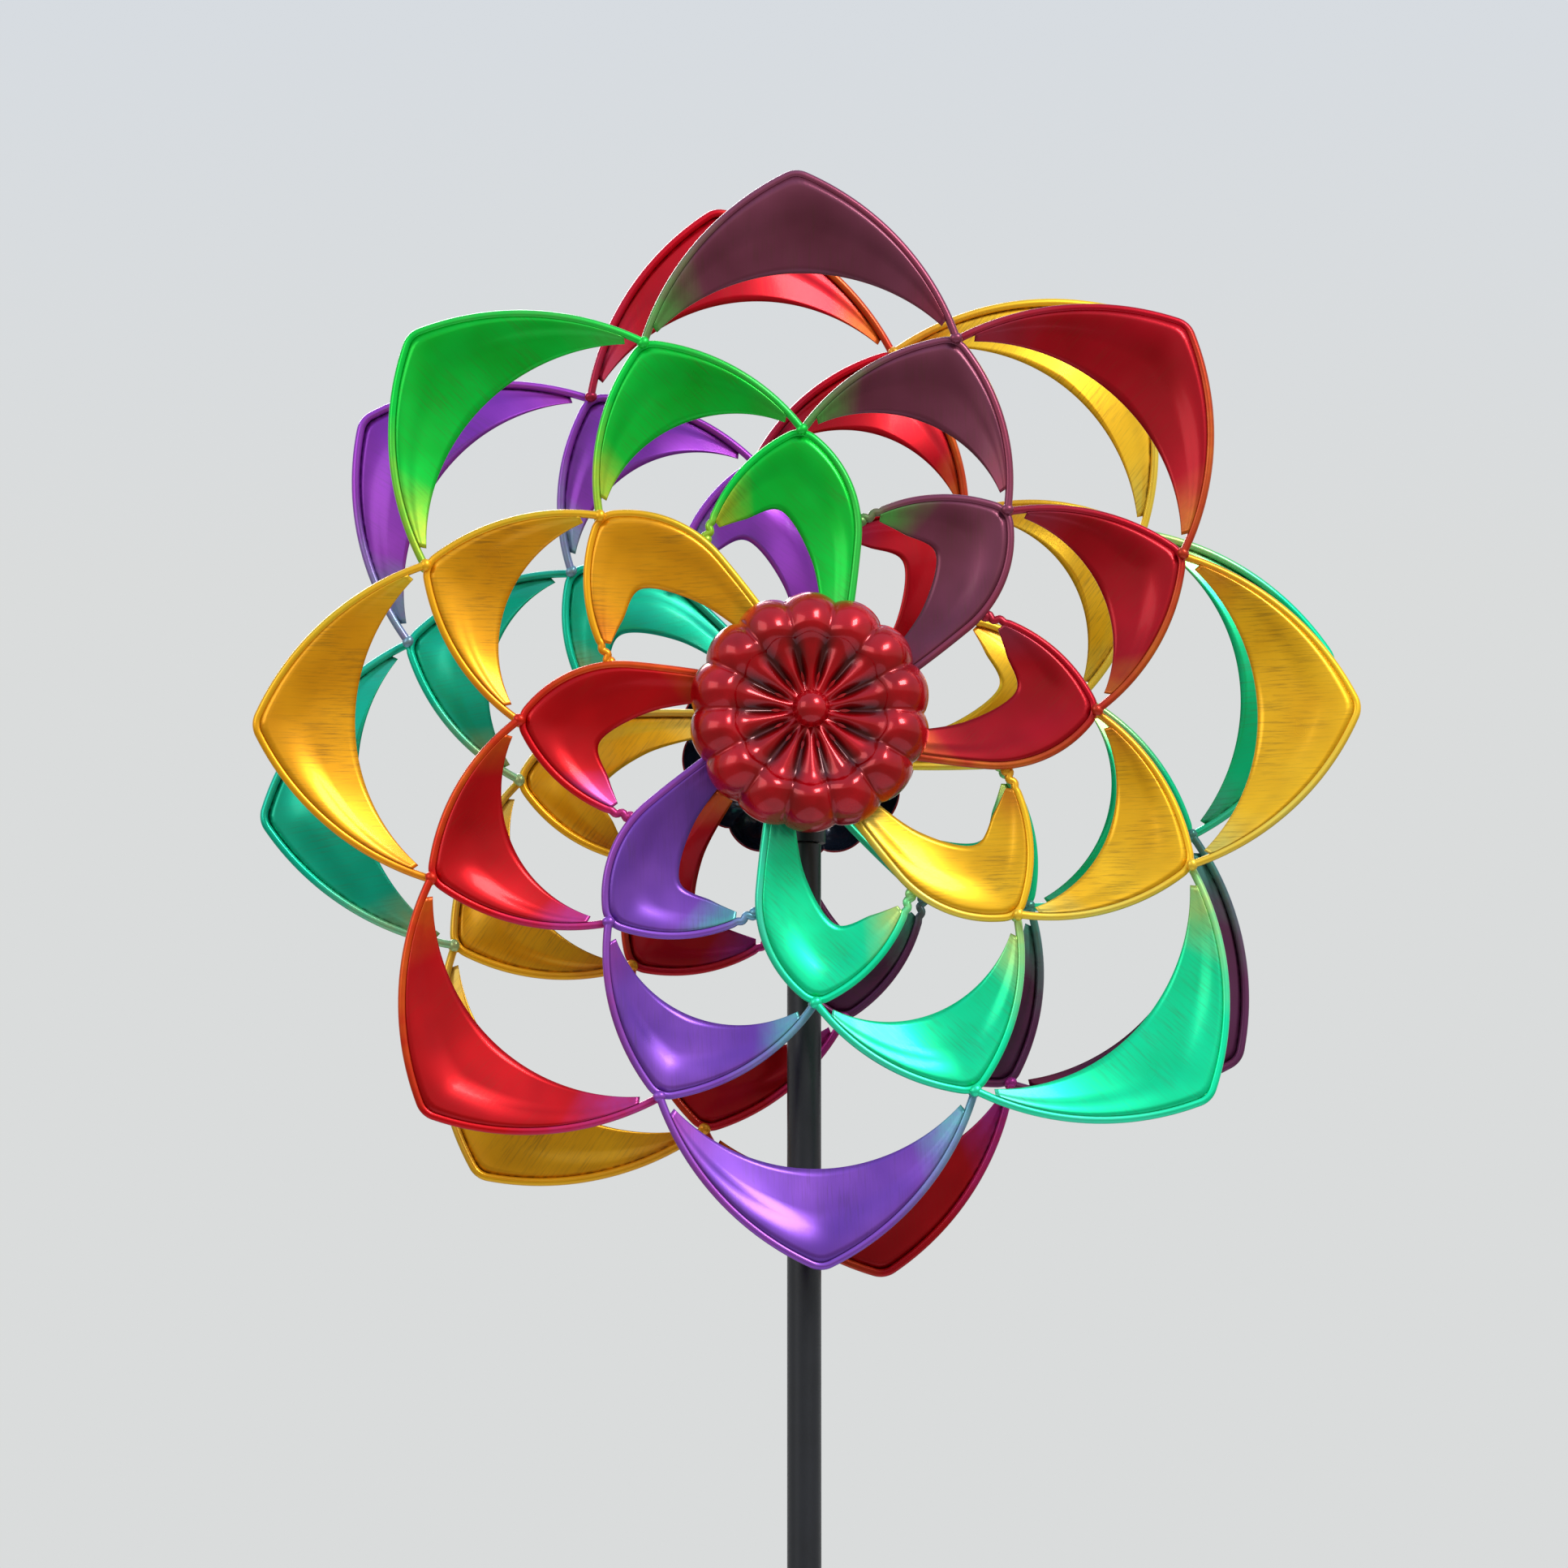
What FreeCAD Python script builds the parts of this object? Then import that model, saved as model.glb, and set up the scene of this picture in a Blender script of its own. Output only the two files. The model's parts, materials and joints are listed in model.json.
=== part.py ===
"""Double wind spinner on a garden pole, as a parametric FreeCAD document.

Frame: millimetres, +Z up, origin at ground level on the axis of the pole.
The wheels' shared axle runs along Y, and the front wheel is on the -Y side.

A wheel is drawn in flat polar terms: u runs clockwise, v runs outwards from the axle, both seen from
outside the wheel, and w is the distance out from the pole's centre plane along the axle.
"""

import FreeCAD, Part
import math
import os

import Sketcher
from FreeCAD import Placement, Rotation, Vector

doc = FreeCAD.newDocument("wind_spinner")

# ---------------------------------------------------------------- driving sizes, mm and degrees

SIZES = {
    # pole, its joints and its foot
    "hub_height": 1600.0,
    "pole_radius": 9.5,
    "pole_bore": 8.0,
    "pole_foot": 20.0,
    "low_joint": 560.0,
    "high_joint": 1080.0,
    "pole_top": 1530.0,
    "coupler_radius": 7.95,
    "coupler_bore": 6.2,
    "coupler_length": 120.0,
    "pole_screw_radius": 2.5,
    "pole_screw_head": 4.4,
    "pole_screw_cap": 2.6,
    "pole_screw_reach": 42.0,
    # ground stake
    "spike_radius": 7.0,
    "spike_depth": 260.0,
    "spike_point": 40.0,
    "spigot_radius": 7.9,
    "spigot_length": 70.0,
    "spike_tip": 0.8,
    "neck_radius": 7.5,
    "neck_bore": 7.55,
    "collar_radius": 13.0,
    "collar_height": 5.0,
    "bar_length": 170.0,
    "bar_width": 26.0,
    "bar_height": 6.0,
    "prong_radius": 4.0,
    "prong_depth": 190.0,
    "prong_point": 24.0,
    "prong_offset": 65.0,
    # swivel at the top of the pole
    "plug_length": 40.0,
    "spindle_collar": 4.0,
    "spindle_radius": 5.0,
    "spindle_length": 40.9,
    "tee_radius": 12.0,
    "tee_gap": 1.0,
    "tee_half": 24.0,
    "swivel_bore": 8.0,
    "swivel_bore_depth": 50.0,
    "bush_radius": 7.95,
    "bush_bore": 5.05,
    "bush_length": 38.0,
    "ball_radius": 5.0,
    "set_screw_radius": 2.5,
    "set_screw_length": 6.5,
    "set_screw_offset": 14.0,
    # axle and what it carries
    "axle_seat": 5.95,
    "axle_radius": 5.0,
    "axle_bore": 6.0,
    "axle_shoulder": 30.0,
    "axle_half": 66.0,
    "bearing_radius": 12.95,
    "bearing_bore": 5.05,
    "bearing_width": 8.0,
    "side_play": 0.3,
    "spacer_radius": 7.0,
    "spacer_bore": 5.02,
    "nut_flats": 17.0,
    "nut_height": 6.5,
    # hub
    "barrel_radius": 17.0,
    "barrel_bore": 13.0,
    "barrel_start": 27.0,
    "barrel_end": 68.0,
    "rib_bore": 11.0,
    "bearing_gap": 11.4,
    "flange_radius": 36.0,
    "flange_thickness": 3.0,
    "flange_face": 48.65,
    "eye_u": 16.5,
    "eye_v": 21.0,
    "eye_radius": 7.0,
    "eye_hole": 2.2,
    "arm_screw_radius": 2.0,
    "arm_screw_hole": 2.05,
    "arm_screw_head": 3.8,
    "arm_screw_cap": 2.8,
    # flower cap
    "cap_radius": 67.0,
    "cap_rim": 64.0,
    "cap_crest_radius": 49.0,
    "cap_crest": 84.5,
    "cap_web_radius": 40.0,
    "cap_web": 70.0,
    "cap_sheet": 1.2,
    "collar_bore": 17.05,
    "collar_outside": 19.0,
    "collar_start": 58.0,
    "cap_shoulder_radius": 62.3,
    "cap_shoulder": 76.7,
    "cap_roll_radius": 41.6,
    "cap_roll": 81.1,
    "lobe_count": 14.0,
    "lobe_sink": 4.5,
    "lobe_pinch": 0.07,
    "lobe_start": 41.2,
    "lobe_full": 47.0,
    "rosette_radius": 39.5,
    "rosette_rim": 82.0,
    "rosette_floor": 72.45,
    "rosette_seat": 9.0,
    "rosette_middle": 24.0,
    "rosette_sag": 75.3,
    "rib_sink": 3.1,
    "rib_pinch": 0.09,
    "rib_start": 14.0,
    "rib_full": 30.0,
    "knob_radius": 10.5,
    "knob_centre": 79.0,
    "stem_radius": 3.0,
    "stem_hole": 3.05,
    "stem_end": 67.0,
    "knob_seat": 72.5,
    "push_nut_radius": 6.0,
    "push_nut_start": 68.2,
    "push_nut_height": 1.7,
    # wheel
    "arm_count": 8,
    "front_turn": -1.3,
    "rear_turn": -8.9,
    "outer_ring": 306.0,
    "middle_ring": 227.5,
    "inner_ring": 160.0,
    "apex_w": 50.0,
    "wire_radius": 2.25,
    "outer_bow": 14.0,
    "middle_bow": 10.8,
    "inner_bow": 9.8,
    "tip_bend": 12.0,
    "weld_radius": 3.0,
    "lap_own": 3.6,
    "lap_neighbour": 4.55,
    "inner_end_u": -54.6,
    "inner_end_v": 99.4,
    "inner_knee_u": 29.5,
    "inner_knee_v": 97.0,
    # petals
    "petal_sheet": 0.9,
    "petal_edge_gap": 0.1,
    "petal_lift": 0.3,
    "outer_petal_width": 55.5,
    "middle_petal_width": 49.0,
    "inner_petal_width": 44.5,
    "inner_shoulder_u": -32.8,
    "inner_shoulder_v": 111.0,
    "inner_crown_u": -12.0,
    "inner_bend_u": 4.1,
    "inner_bend_v": 87.3,
    "outer_petal_dish": 13.0,
    "middle_petal_dish": 11.0,
    "inner_petal_dish": 9.0,
    "petal_end_gap": 11.0,
    "petal_end_u": 2.2,
    "petal_end_v": 2.9,
    "inner_foot_width": 11.0,
    "inner_petal_foot": 50.0,
}

sheet = doc.addObject("Spreadsheet::Sheet", "Sizes")
for row, (alias, value) in enumerate(SIZES.items(), start=1):
    sheet.set(f"A{row}", alias)
    sheet.set(f"B{row}", str(value))
    sheet.setAlias(f"B{row}", alias)
doc.recompute()

COLOURS = ("purple", "red", "yellow", "green")
FRONT = -1
REAR = 1
SIDE_NAMES = {FRONT: "front", REAR: "rear"}
FIRST_COLOUR = {FRONT: 0, REAR: 1}
PETAL_SAMPLES = 9
TIP_SAMPLES = 4
PETAL_ROWS = (0.0, 0.35, 0.7, 1.0)
SECTION_SAMPLES = 7
LOBE_SAMPLES = 11
LOBE_ROUNDNESS = 0.97
SHOULDER_SLOPE = 0.7
SEAM = 0.001

subparts = []


def size(alias):
    """The value of one cell of the sheet, as a plain number."""
    return float(getattr(sheet, alias))


def bind(thing, **expressions):
    """Bind properties of an object to the sheet; x, y and z are its place."""
    for key, text in expressions.items():
        path = f".Placement.Base.{key}" if key in ("x", "y", "z") else key
        thing.setExpression(path, str(text))
    return thing


def keep(thing, label):
    """Mark an object as a finished sub-part, named for its file."""
    thing.Label = label
    subparts.append(thing)
    return thing


def primitive(kind, name, turn=None, **expressions):
    """A Part primitive bound to the sheet, with an optional turn."""
    thing = doc.addObject(kind, name)
    if turn is not None:
        thing.Placement = Placement(Vector(), turn)
    return bind(thing, **expressions)


def cylinder(name, radius, height, turn=None, **place):
    return primitive("Part::Cylinder", name, turn, Radius=radius, Height=height, **place)


def cone(name, low, high, height, turn=None, **place):
    return primitive("Part::Cone", name, turn, Radius1=low, Radius2=high, Height=height, **place)


def fuse(name, *things):
    joined = doc.addObject("Part::MultiFuse", name)
    joined.Shapes = list(things)
    return joined


def cut(name, base, *tools):
    """The base with every tool taken away."""
    tool = tools[0] if len(tools) == 1 else fuse(name + "_tools", *tools)
    result = doc.addObject("Part::Cut", name)
    result.Base = base
    result.Tool = tool
    return result


def group(name, *things):
    """Separate identical pieces that share one node."""
    bundle = doc.addObject("Part::Compound", name)
    bundle.Links = list(things)
    return bundle


# ---------------------------------------------------------------- pole


def origin_plane(body, role):
    return next(f for f in body.Origin.OriginFeatures if f.Role == role)


def tube_body(name, outside, inside, length, z):
    """A tube as a PartDesign body: two circles on the ground plane, padded upwards."""
    body = doc.addObject("PartDesign::Body", name)
    sketch = body.newObject("Sketcher::SketchObject", name + "_section")
    sketch.AttachmentSupport = (origin_plane(body, "XY_Plane"), [""])
    sketch.MapMode = "FlatFace"
    for index, radius in enumerate((outside, inside)):
        sketch.addGeometry(Part.Circle(Vector(), Vector(0, 0, 1), 10.0 - index), False)
        sketch.addConstraint(Sketcher.Constraint("Coincident", index, 3, -1, 1))
        circle = sketch.addConstraint(Sketcher.Constraint("Radius", index, 10.0 - index))
        sketch.setExpression(f"Constraints[{circle}]", radius)
    pad = body.newObject("PartDesign::Pad", name + "_length")
    pad.Profile = sketch
    bind(pad, Length=length)
    body.Tip = pad
    return bind(body, z=z)


def screw_places():
    """Height expression of each of the four coupler screws."""
    for joint in ("low_joint", "high_joint"):
        for sign in "-+":
            yield f"Sizes.{joint} {sign} Sizes.pole_screw_reach"


ALONG_Y = Rotation(Vector(1, 0, 0), -90)


def screw_holes(name):
    return [
        cylinder(f"{name}_hole_{i}", "Sizes.pole_screw_radius", "Sizes.collar_radius", ALONG_Y, z=height)
        for i, height in enumerate(screw_places())
    ]


def make_pole():
    spans = {
        "lower_pole": ("Sizes.pole_foot", "Sizes.low_joint"),
        "middle_pole": ("Sizes.low_joint", "Sizes.high_joint"),
        "upper_pole": ("Sizes.high_joint", "Sizes.pole_top"),
    }
    for name, (start, end) in spans.items():
        tube = tube_body(name + "_tube", "Sizes.pole_radius", "Sizes.pole_bore", f"{end} - {start}", start)
        keep(cut(name, tube, *screw_holes(name)), name)

    sleeves = []
    for name in ("low_joint", "high_joint"):
        sleeves.append(
            tube_body(
                "coupler_" + name,
                "Sizes.coupler_radius",
                "Sizes.coupler_bore",
                "Sizes.coupler_length",
                f"Sizes.{name} - Sizes.coupler_length / 2",
            )
        )
    keep(cut("couplers", group("coupler_pair", *sleeves), *screw_holes("coupler")), "pole_couplers")

    screws = []
    for i, height in enumerate(screw_places()):
        shank = cylinder(
            f"pole_screw_shank_{i}",
            "Sizes.pole_screw_radius",
            "Sizes.pole_radius - Sizes.coupler_bore",
            ALONG_Y,
            y="Sizes.coupler_bore",
            z=height,
        )
        head = cylinder(
            f"pole_screw_head_{i}",
            "Sizes.pole_screw_head",
            "Sizes.pole_screw_cap",
            ALONG_Y,
            y="Sizes.pole_radius",
            z=height,
        )
        screws.append(fuse(f"pole_screw_{i}", shank, head))
    keep(group("pole_screw_set", *screws), "pole_screws")


# ---------------------------------------------------------------- ground stake


def make_stake():
    bar_base = "Sizes.pole_foot - Sizes.collar_height - Sizes.bar_height"
    point = cone(
        "spike_point", "Sizes.spike_tip", "Sizes.spike_radius", "Sizes.spike_point", z="-Sizes.spike_depth"
    )
    shaft = cylinder(
        "spike_shaft",
        "Sizes.spike_radius",
        f"Sizes.spike_depth - Sizes.spike_point + {bar_base}",
        z="Sizes.spike_point - Sizes.spike_depth",
    )
    neck = cylinder("spike_neck", "Sizes.neck_radius", "Sizes.bar_height", z=bar_base)
    collar_base = "Sizes.pole_foot - Sizes.collar_height"
    collar = cylinder("spike_collar", "Sizes.collar_radius", "Sizes.collar_height", z=collar_base)
    spigot = cylinder("spike_spigot", "Sizes.spigot_radius", "Sizes.spigot_length", z="Sizes.pole_foot")
    keep(fuse("spike", point, shaft, neck, collar, spigot), "ground_spike")

    bar = primitive(
        "Part::Box",
        "bar_blank",
        Length="Sizes.bar_length",
        Width="Sizes.bar_width",
        Height="Sizes.bar_height",
        x="-Sizes.bar_length / 2",
        y="-Sizes.bar_width / 2",
        z=bar_base,
    )
    hole = cylinder("bar_hole", "Sizes.neck_bore", "Sizes.bar_height", z=bar_base)
    keep(cut("step_bar", bar, hole), "stake_step_bar")

    prongs = []
    for name, sign in (("left", "-"), ("right", "")):
        x = f"{sign}Sizes.prong_offset"
        tip = cone(
            f"prong_tip_{name}",
            "Sizes.spike_tip",
            "Sizes.prong_radius",
            "Sizes.prong_point",
            x=x,
            z="-Sizes.prong_depth",
        )
        rod = cylinder(
            f"prong_rod_{name}",
            "Sizes.prong_radius",
            f"Sizes.prong_depth - Sizes.prong_point + {bar_base}",
            x=x,
            z="Sizes.prong_point - Sizes.prong_depth",
        )
        prongs.append(fuse(f"prong_{name}", tip, rod))
    keep(group("prong_pair", *prongs), "stake_side_prongs")


# ---------------------------------------------------------------- swivel head and axle

def make_head():
    plug_foot = "Sizes.pole_top - Sizes.plug_length"
    plug = cylinder("spindle_plug", "Sizes.coupler_radius", "Sizes.plug_length", z=plug_foot)
    collar = cylinder("spindle_collar", "Sizes.pole_radius", "Sizes.spindle_collar", z="Sizes.pole_top")
    pin_foot = "Sizes.pole_top + Sizes.spindle_collar"
    pin = cylinder("spindle_pin", "Sizes.spindle_radius", "Sizes.spindle_length", z=pin_foot)
    keep(fuse("spindle", plug, collar, pin), "swivel_spindle")

    tee_foot = "Sizes.pole_top + Sizes.spindle_collar + Sizes.tee_gap"
    upright = cylinder("tee_upright", "Sizes.tee_radius", f"Sizes.hub_height - ({tee_foot})", z=tee_foot)
    across = {"y": "-Sizes.tee_half", "z": "Sizes.hub_height"}
    cross = cylinder("tee_cross", "Sizes.tee_radius", "2 * Sizes.tee_half", ALONG_Y, **across)
    bore = cylinder("tee_bore", "Sizes.swivel_bore", "Sizes.swivel_bore_depth", z=tee_foot)
    through = cylinder("tee_through", "Sizes.axle_bore", "2 * Sizes.tee_half", ALONG_Y, **across)
    seats = []
    screws = []
    for name, sign in (("front", "-"), ("rear", "")):
        place = {"y": f"{sign}Sizes.set_screw_offset", "z": "Sizes.hub_height + Sizes.axle_seat"}
        seats.append(cylinder(f"set_hole_{name}", "Sizes.set_screw_radius", "Sizes.tee_radius", **place))
        screws.append(
            cylinder(f"set_screw_{name}", "Sizes.set_screw_radius", "Sizes.set_screw_length", **place)
        )
    keep(cut("tee", fuse("tee_blank", upright, cross), bore, through, *seats), "swivel_tee")
    keep(group("set_screws", *screws), "axle_set_screws")

    bush_foot = f"{tee_foot} + Sizes.tee_gap"
    sleeve = cylinder("bush_outside", "Sizes.bush_radius", "Sizes.bush_length", z=bush_foot)
    inside = cylinder("bush_inside", "Sizes.bush_bore", "Sizes.bush_length", z=bush_foot)
    keep(cut("bush", sleeve, inside), "swivel_bush")

    ball_centre = f"{tee_foot} + Sizes.swivel_bore_depth - Sizes.ball_radius"
    keep(primitive("Part::Sphere", "thrust_ball", Radius="Sizes.ball_radius", z=ball_centre), "swivel_ball")

    seat = cylinder(
        "axle_middle",
        "Sizes.axle_seat",
        "2 * Sizes.axle_shoulder",
        ALONG_Y,
        y="-Sizes.axle_shoulder",
        z="Sizes.hub_height",
    )
    bar = cylinder(
        "axle_bar",
        "Sizes.axle_radius",
        "2 * Sizes.axle_half",
        ALONG_Y,
        y="-Sizes.axle_half",
        z="Sizes.hub_height",
    )
    keep(fuse("axle_body", seat, bar), "axle")

    spacers = [
        ring(f"spacer_{SIDE_NAMES[side]}", side, "spacer_radius", "spacer_bore", SPACER_START, SPACER_LENGTH)
        for side in (FRONT, REAR)
    ]
    keep(group("spacer_pair", *spacers), "bearing_spacers")
    keep(group("nut_pair", *(axle_nut(side) for side in (FRONT, REAR))), "axle_nuts")


# ---------------------------------------------------------------- rings along the axle

FIRST_BEARING = "Sizes.axle_shoulder + Sizes.side_play"
SECOND_BEARING = f"{FIRST_BEARING} + Sizes.bearing_width + Sizes.bearing_gap"
SPACER_START = f"{FIRST_BEARING} + Sizes.bearing_width + Sizes.side_play"
SPACER_LENGTH = "Sizes.bearing_gap - 2 * Sizes.side_play"
NUT_START = f"{SECOND_BEARING} + Sizes.bearing_width + Sizes.side_play"


def outwards(side):
    """Turn that takes +Z to the outward direction of one wheel."""
    return Rotation(Vector(1, 0, 0), 90 if side == FRONT else -90)


def along(side, w):
    """Place expressions for something that starts at distance w out along the axle."""
    sign = "-" if side == FRONT else ""
    return {"y": f"{sign}({w})", "z": "Sizes.hub_height"}


def disc(name, side, radius, w, length):
    return cylinder(name, f"Sizes.{radius}", length, outwards(side), **along(side, w))


def ring(name, side, outside, inside, w, length):
    blank = disc(name + "_outside", side, outside, w, length)
    return cut(name, blank, disc(name + "_inside", side, inside, w, length))


def axle_nut(side):
    name = f"axle_nut_{SIDE_NAMES[side]}"
    hexagon = primitive(
        "Part::Prism",
        name + "_hexagon",
        outwards(side),
        Circumradius="Sizes.nut_flats / 2 / cos(30)",
        Height="Sizes.nut_height",
        **along(side, NUT_START),
    )
    hexagon.Polygon = 6
    return cut(name, hexagon, disc(name + "_bore", side, "spacer_bore", NUT_START, "Sizes.nut_height"))


# ---------------------------------------------------------------- hub and its screws


def wheel_turn(side):
    return "Sizes.front_turn" if side == FRONT else "Sizes.rear_turn"


def around(side, arm, w):
    """Place expressions for the screw eye of one arm, at distance w out along the axle."""
    turned = f"{wheel_turn(side)} * 1 deg + {arm} * 360 deg / Sizes.arm_count"
    angle = f"(atan(Sizes.eye_u / Sizes.eye_v) + {turned})"
    reach = "hypot(Sizes.eye_u; Sizes.eye_v)"
    sign = "-" if side == FRONT else ""
    return {
        "x": f"{reach} * sin{angle}",
        "y": f"{sign}({w})",
        "z": f"Sizes.hub_height + {reach} * cos{angle}",
    }


def make_hub(side):
    name = SIDE_NAMES[side]
    flange_back = "Sizes.flange_face - Sizes.flange_thickness"
    barrel_length = "Sizes.barrel_end - Sizes.barrel_start"
    barrel = disc(f"{name}_barrel", side, "barrel_radius", "Sizes.barrel_start", barrel_length)
    flange = disc(f"{name}_flange", side, "flange_radius", flange_back, "Sizes.flange_thickness")
    bore = disc(f"{name}_rib_bore", side, "rib_bore", "Sizes.barrel_start", barrel_length)
    inner_seat = disc(
        f"{name}_inner_seat",
        side,
        "barrel_bore",
        "Sizes.barrel_start",
        f"{FIRST_BEARING} + Sizes.bearing_width - Sizes.barrel_start",
    )
    outer_seat = disc(
        f"{name}_outer_seat", side, "barrel_bore", SECOND_BEARING, f"Sizes.barrel_end - ({SECOND_BEARING})"
    )
    holes = []
    screws = []
    for arm in range(int(size("arm_count"))):
        holes.append(
            cylinder(
                f"{name}_tapping_{arm}",
                "Sizes.arm_screw_hole",
                "Sizes.flange_thickness",
                outwards(side),
                **around(side, arm, flange_back),
            )
        )
        shank = cylinder(
            f"{name}_arm_screw_shank_{arm}",
            "Sizes.arm_screw_radius",
            "Sizes.flange_thickness + 2 * Sizes.wire_radius",
            outwards(side),
            **around(side, arm, flange_back),
        )
        head = cylinder(
            f"{name}_arm_screw_head_{arm}",
            "Sizes.arm_screw_head",
            "Sizes.arm_screw_cap",
            outwards(side),
            **around(side, arm, "Sizes.flange_face + 2 * Sizes.wire_radius"),
        )
        screws.append(fuse(f"{name}_arm_screw_{arm}", shank, head))
    blank = fuse(f"{name}_hub_blank", barrel, flange)
    keep(cut(f"{name}_hub_body", blank, bore, inner_seat, outer_seat, *holes), f"{name}_hub")
    keep(group(f"{name}_arm_screw_set", *screws), f"{name}_arm_screws")

    bearings = [
        ring(f"{name}_bearing_{i}", side, "bearing_radius", "bearing_bore", w, "Sizes.bearing_width")
        for i, w in enumerate((FIRST_BEARING, SECOND_BEARING))
    ]
    keep(group(f"{name}_bearing_pair", *bearings), f"{name}_bearings")


# ---------------------------------------------------------------- flower cap


def side_placement(side):
    """From a drawing with w along Z to the wheel's place on the axle."""
    return Placement(Vector(0, 0, size("hub_height")), outwards(side))


def shaped(name, shape, placement):
    """A sub-part whose shape is made here and then placed."""
    thing = doc.addObject("Part::Feature", name)
    thing.Shape = shape
    thing.Placement = placement
    return keep(thing, name)


def in_section(radius, w):
    """A point of a turned part's section; Z stands for w."""
    return Vector(radius, 0, w)


def line(start, end):
    return Part.LineSegment(start, end).toShape()


def arc(start, middle, end):
    return Part.Arc(start, middle, end).toShape()


def arc_points(start, middle, end):
    """Evenly spaced points of an arc."""
    return arc(start, middle, end).discretize(SECTION_SAMPLES)


def around_axis(point, angle):
    """A section point swung round the axle by an angle in degrees."""
    return Rotation(Vector(0, 0, 1), angle).multVec(point)


class Flutes:
    """How a turned shell is puffed into lobes: sunk and pinched in at the crease between two lobes."""

    def __init__(self, prefix):
        self.sink = size(f"{prefix}_sink")
        self.pinch = size(f"{prefix}_pinch")
        self.start = size(f"{prefix}_start")
        self.full = size(f"{prefix}_full")

    def apply(self, point, across):
        """Move a section point to where it lies on a lobe; across is -1 and 1 at the creases."""
        reach = min(1.0, max(0.0, (point.x - self.start) / (self.full - self.start)))
        reach = reach * reach * (3 - 2 * reach)
        crease = 1.0 - math.sqrt(1.0 - (LOBE_ROUNDNESS * across) ** 2)
        depth = reach * crease / (1.0 - math.sqrt(1.0 - LOBE_ROUNDNESS**2))
        return Vector(point.x * (1.0 - self.pinch * depth), 0, point.z - self.sink * depth)


def fluted_patch(section, flutes, lobe):
    """The surface of one lobe, through a grid of points along its section and across the lobe."""
    step = 360.0 / size("lobe_count")
    grid = []
    for point in section:
        row = []
        for i in range(LOBE_SAMPLES):
            across = 2.0 * i / (LOBE_SAMPLES - 1) - 1.0
            row.append(around_axis(flutes.apply(point, across), (lobe + across / 2) * step))
        grid.append(row)
    patch = Part.BSplineSurface()
    patch.interpolate(grid)
    return patch


def fluted_shell(top, under, middle, flutes):
    """A solid from two fluted skins that run in from the rim, and the plain turned middle that joins them.

    middle is the section from the inner end of the top skin to the inner end of the skin underneath. Its
    first and last stretches are flat.
    """
    faces = []
    top_rim, under_rim = [], []
    for lobe in range(int(size("lobe_count"))):
        skins = [fluted_patch(section, flutes, lobe) for section in (top, under)]
        faces += [skin.toShape() for skin in skins]
        rims = [skin.uIso(skin.bounds()[0]).toShape() for skin in skins]
        faces.append(Part.makeRuledSurface(*rims))
        for skin, rim in zip(skins, (top_rim, under_rim)):
            rim.append(skin.uIso(skin.bounds()[1]).toShape())
    for rim, hole in ((top_rim, middle[1]), (under_rim, middle[-2])):
        inside = Part.Wire(Part.makeCircle(hole.x, Vector(0, 0, hole.z)))
        outside = Part.Wire(Part.__sortEdges__(rim))
        faces.append(Part.makeFace([outside, inside], "Part::FaceMakerBullseye"))
    for start, end in zip(middle[1:-2], middle[2:-1]):
        faces += line(start, end).revolve(Vector(), Vector(0, 0, 1), 360).Faces
    shell = Part.makeShell(faces)
    shell.sewShape(SEAM)
    solid = Part.makeSolid(Part.makeShell(shell.Faces))
    if solid.Volume < 0:
        solid.reverse()
    return solid


def make_cap(side):
    """Pressed flower cap: puffed lobes that roll over a crest down to a flat web with a collar."""
    thick = size("cap_sheet")
    web = size("cap_web_radius")
    floor = size("cap_web")
    crest = in_section(size("cap_crest_radius"), size("cap_crest"))
    shoulder = in_section(size("cap_shoulder_radius"), size("cap_shoulder"))
    roll = in_section(size("cap_roll_radius"), size("cap_roll"))
    rim = in_section(size("cap_radius"), size("cap_rim"))
    top = arc_points(rim, shoulder, crest) + arc_points(crest, roll, in_section(web, floor + thick))[1:]
    diagonal = thick * SHOULDER_SLOPE
    under_shoulder = shoulder + Vector(-diagonal, 0, -diagonal)
    under_crest = crest + Vector(0, 0, -thick)
    under_roll = roll + Vector(diagonal, 0, -diagonal)
    under = arc_points(rim - Vector(thick, 0, 0), under_shoulder, under_crest)
    under += arc_points(under_crest, under_roll, in_section(web + thick, floor))[1:]
    middle = [
        in_section(web, floor + thick),
        in_section(size("stem_hole"), floor + thick),
        in_section(size("stem_hole"), floor),
        in_section(size("collar_bore"), floor),
        in_section(size("collar_bore"), size("collar_start")),
        in_section(size("collar_outside"), size("collar_start")),
        in_section(size("collar_outside"), floor),
        in_section(web + thick, floor),
    ]
    cap = fluted_shell(top, under, middle, Flutes("lobe"))
    shaped(f"{SIDE_NAMES[side]}_flower_cap", cap, side_placement(side))


def make_rosette(side):
    """Small fluted bowl inside the cap, with a flat seat for the knob."""
    thick = Vector(0, 0, size("cap_sheet"))
    seat = in_section(size("rosette_seat"), size("rosette_floor"))
    sag = in_section(size("rosette_middle"), size("rosette_sag"))
    top = arc_points(in_section(size("rosette_radius"), size("rosette_rim")), sag, seat)
    hole = in_section(size("stem_hole"), size("rosette_floor"))
    middle = [seat, hole, hole - thick, seat - thick]
    under = [point - thick for point in top]
    rosette = fluted_shell(top, under, middle, Flutes("rib"))
    shaped(f"{SIDE_NAMES[side]}_rosette", rosette, side_placement(side))


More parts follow.
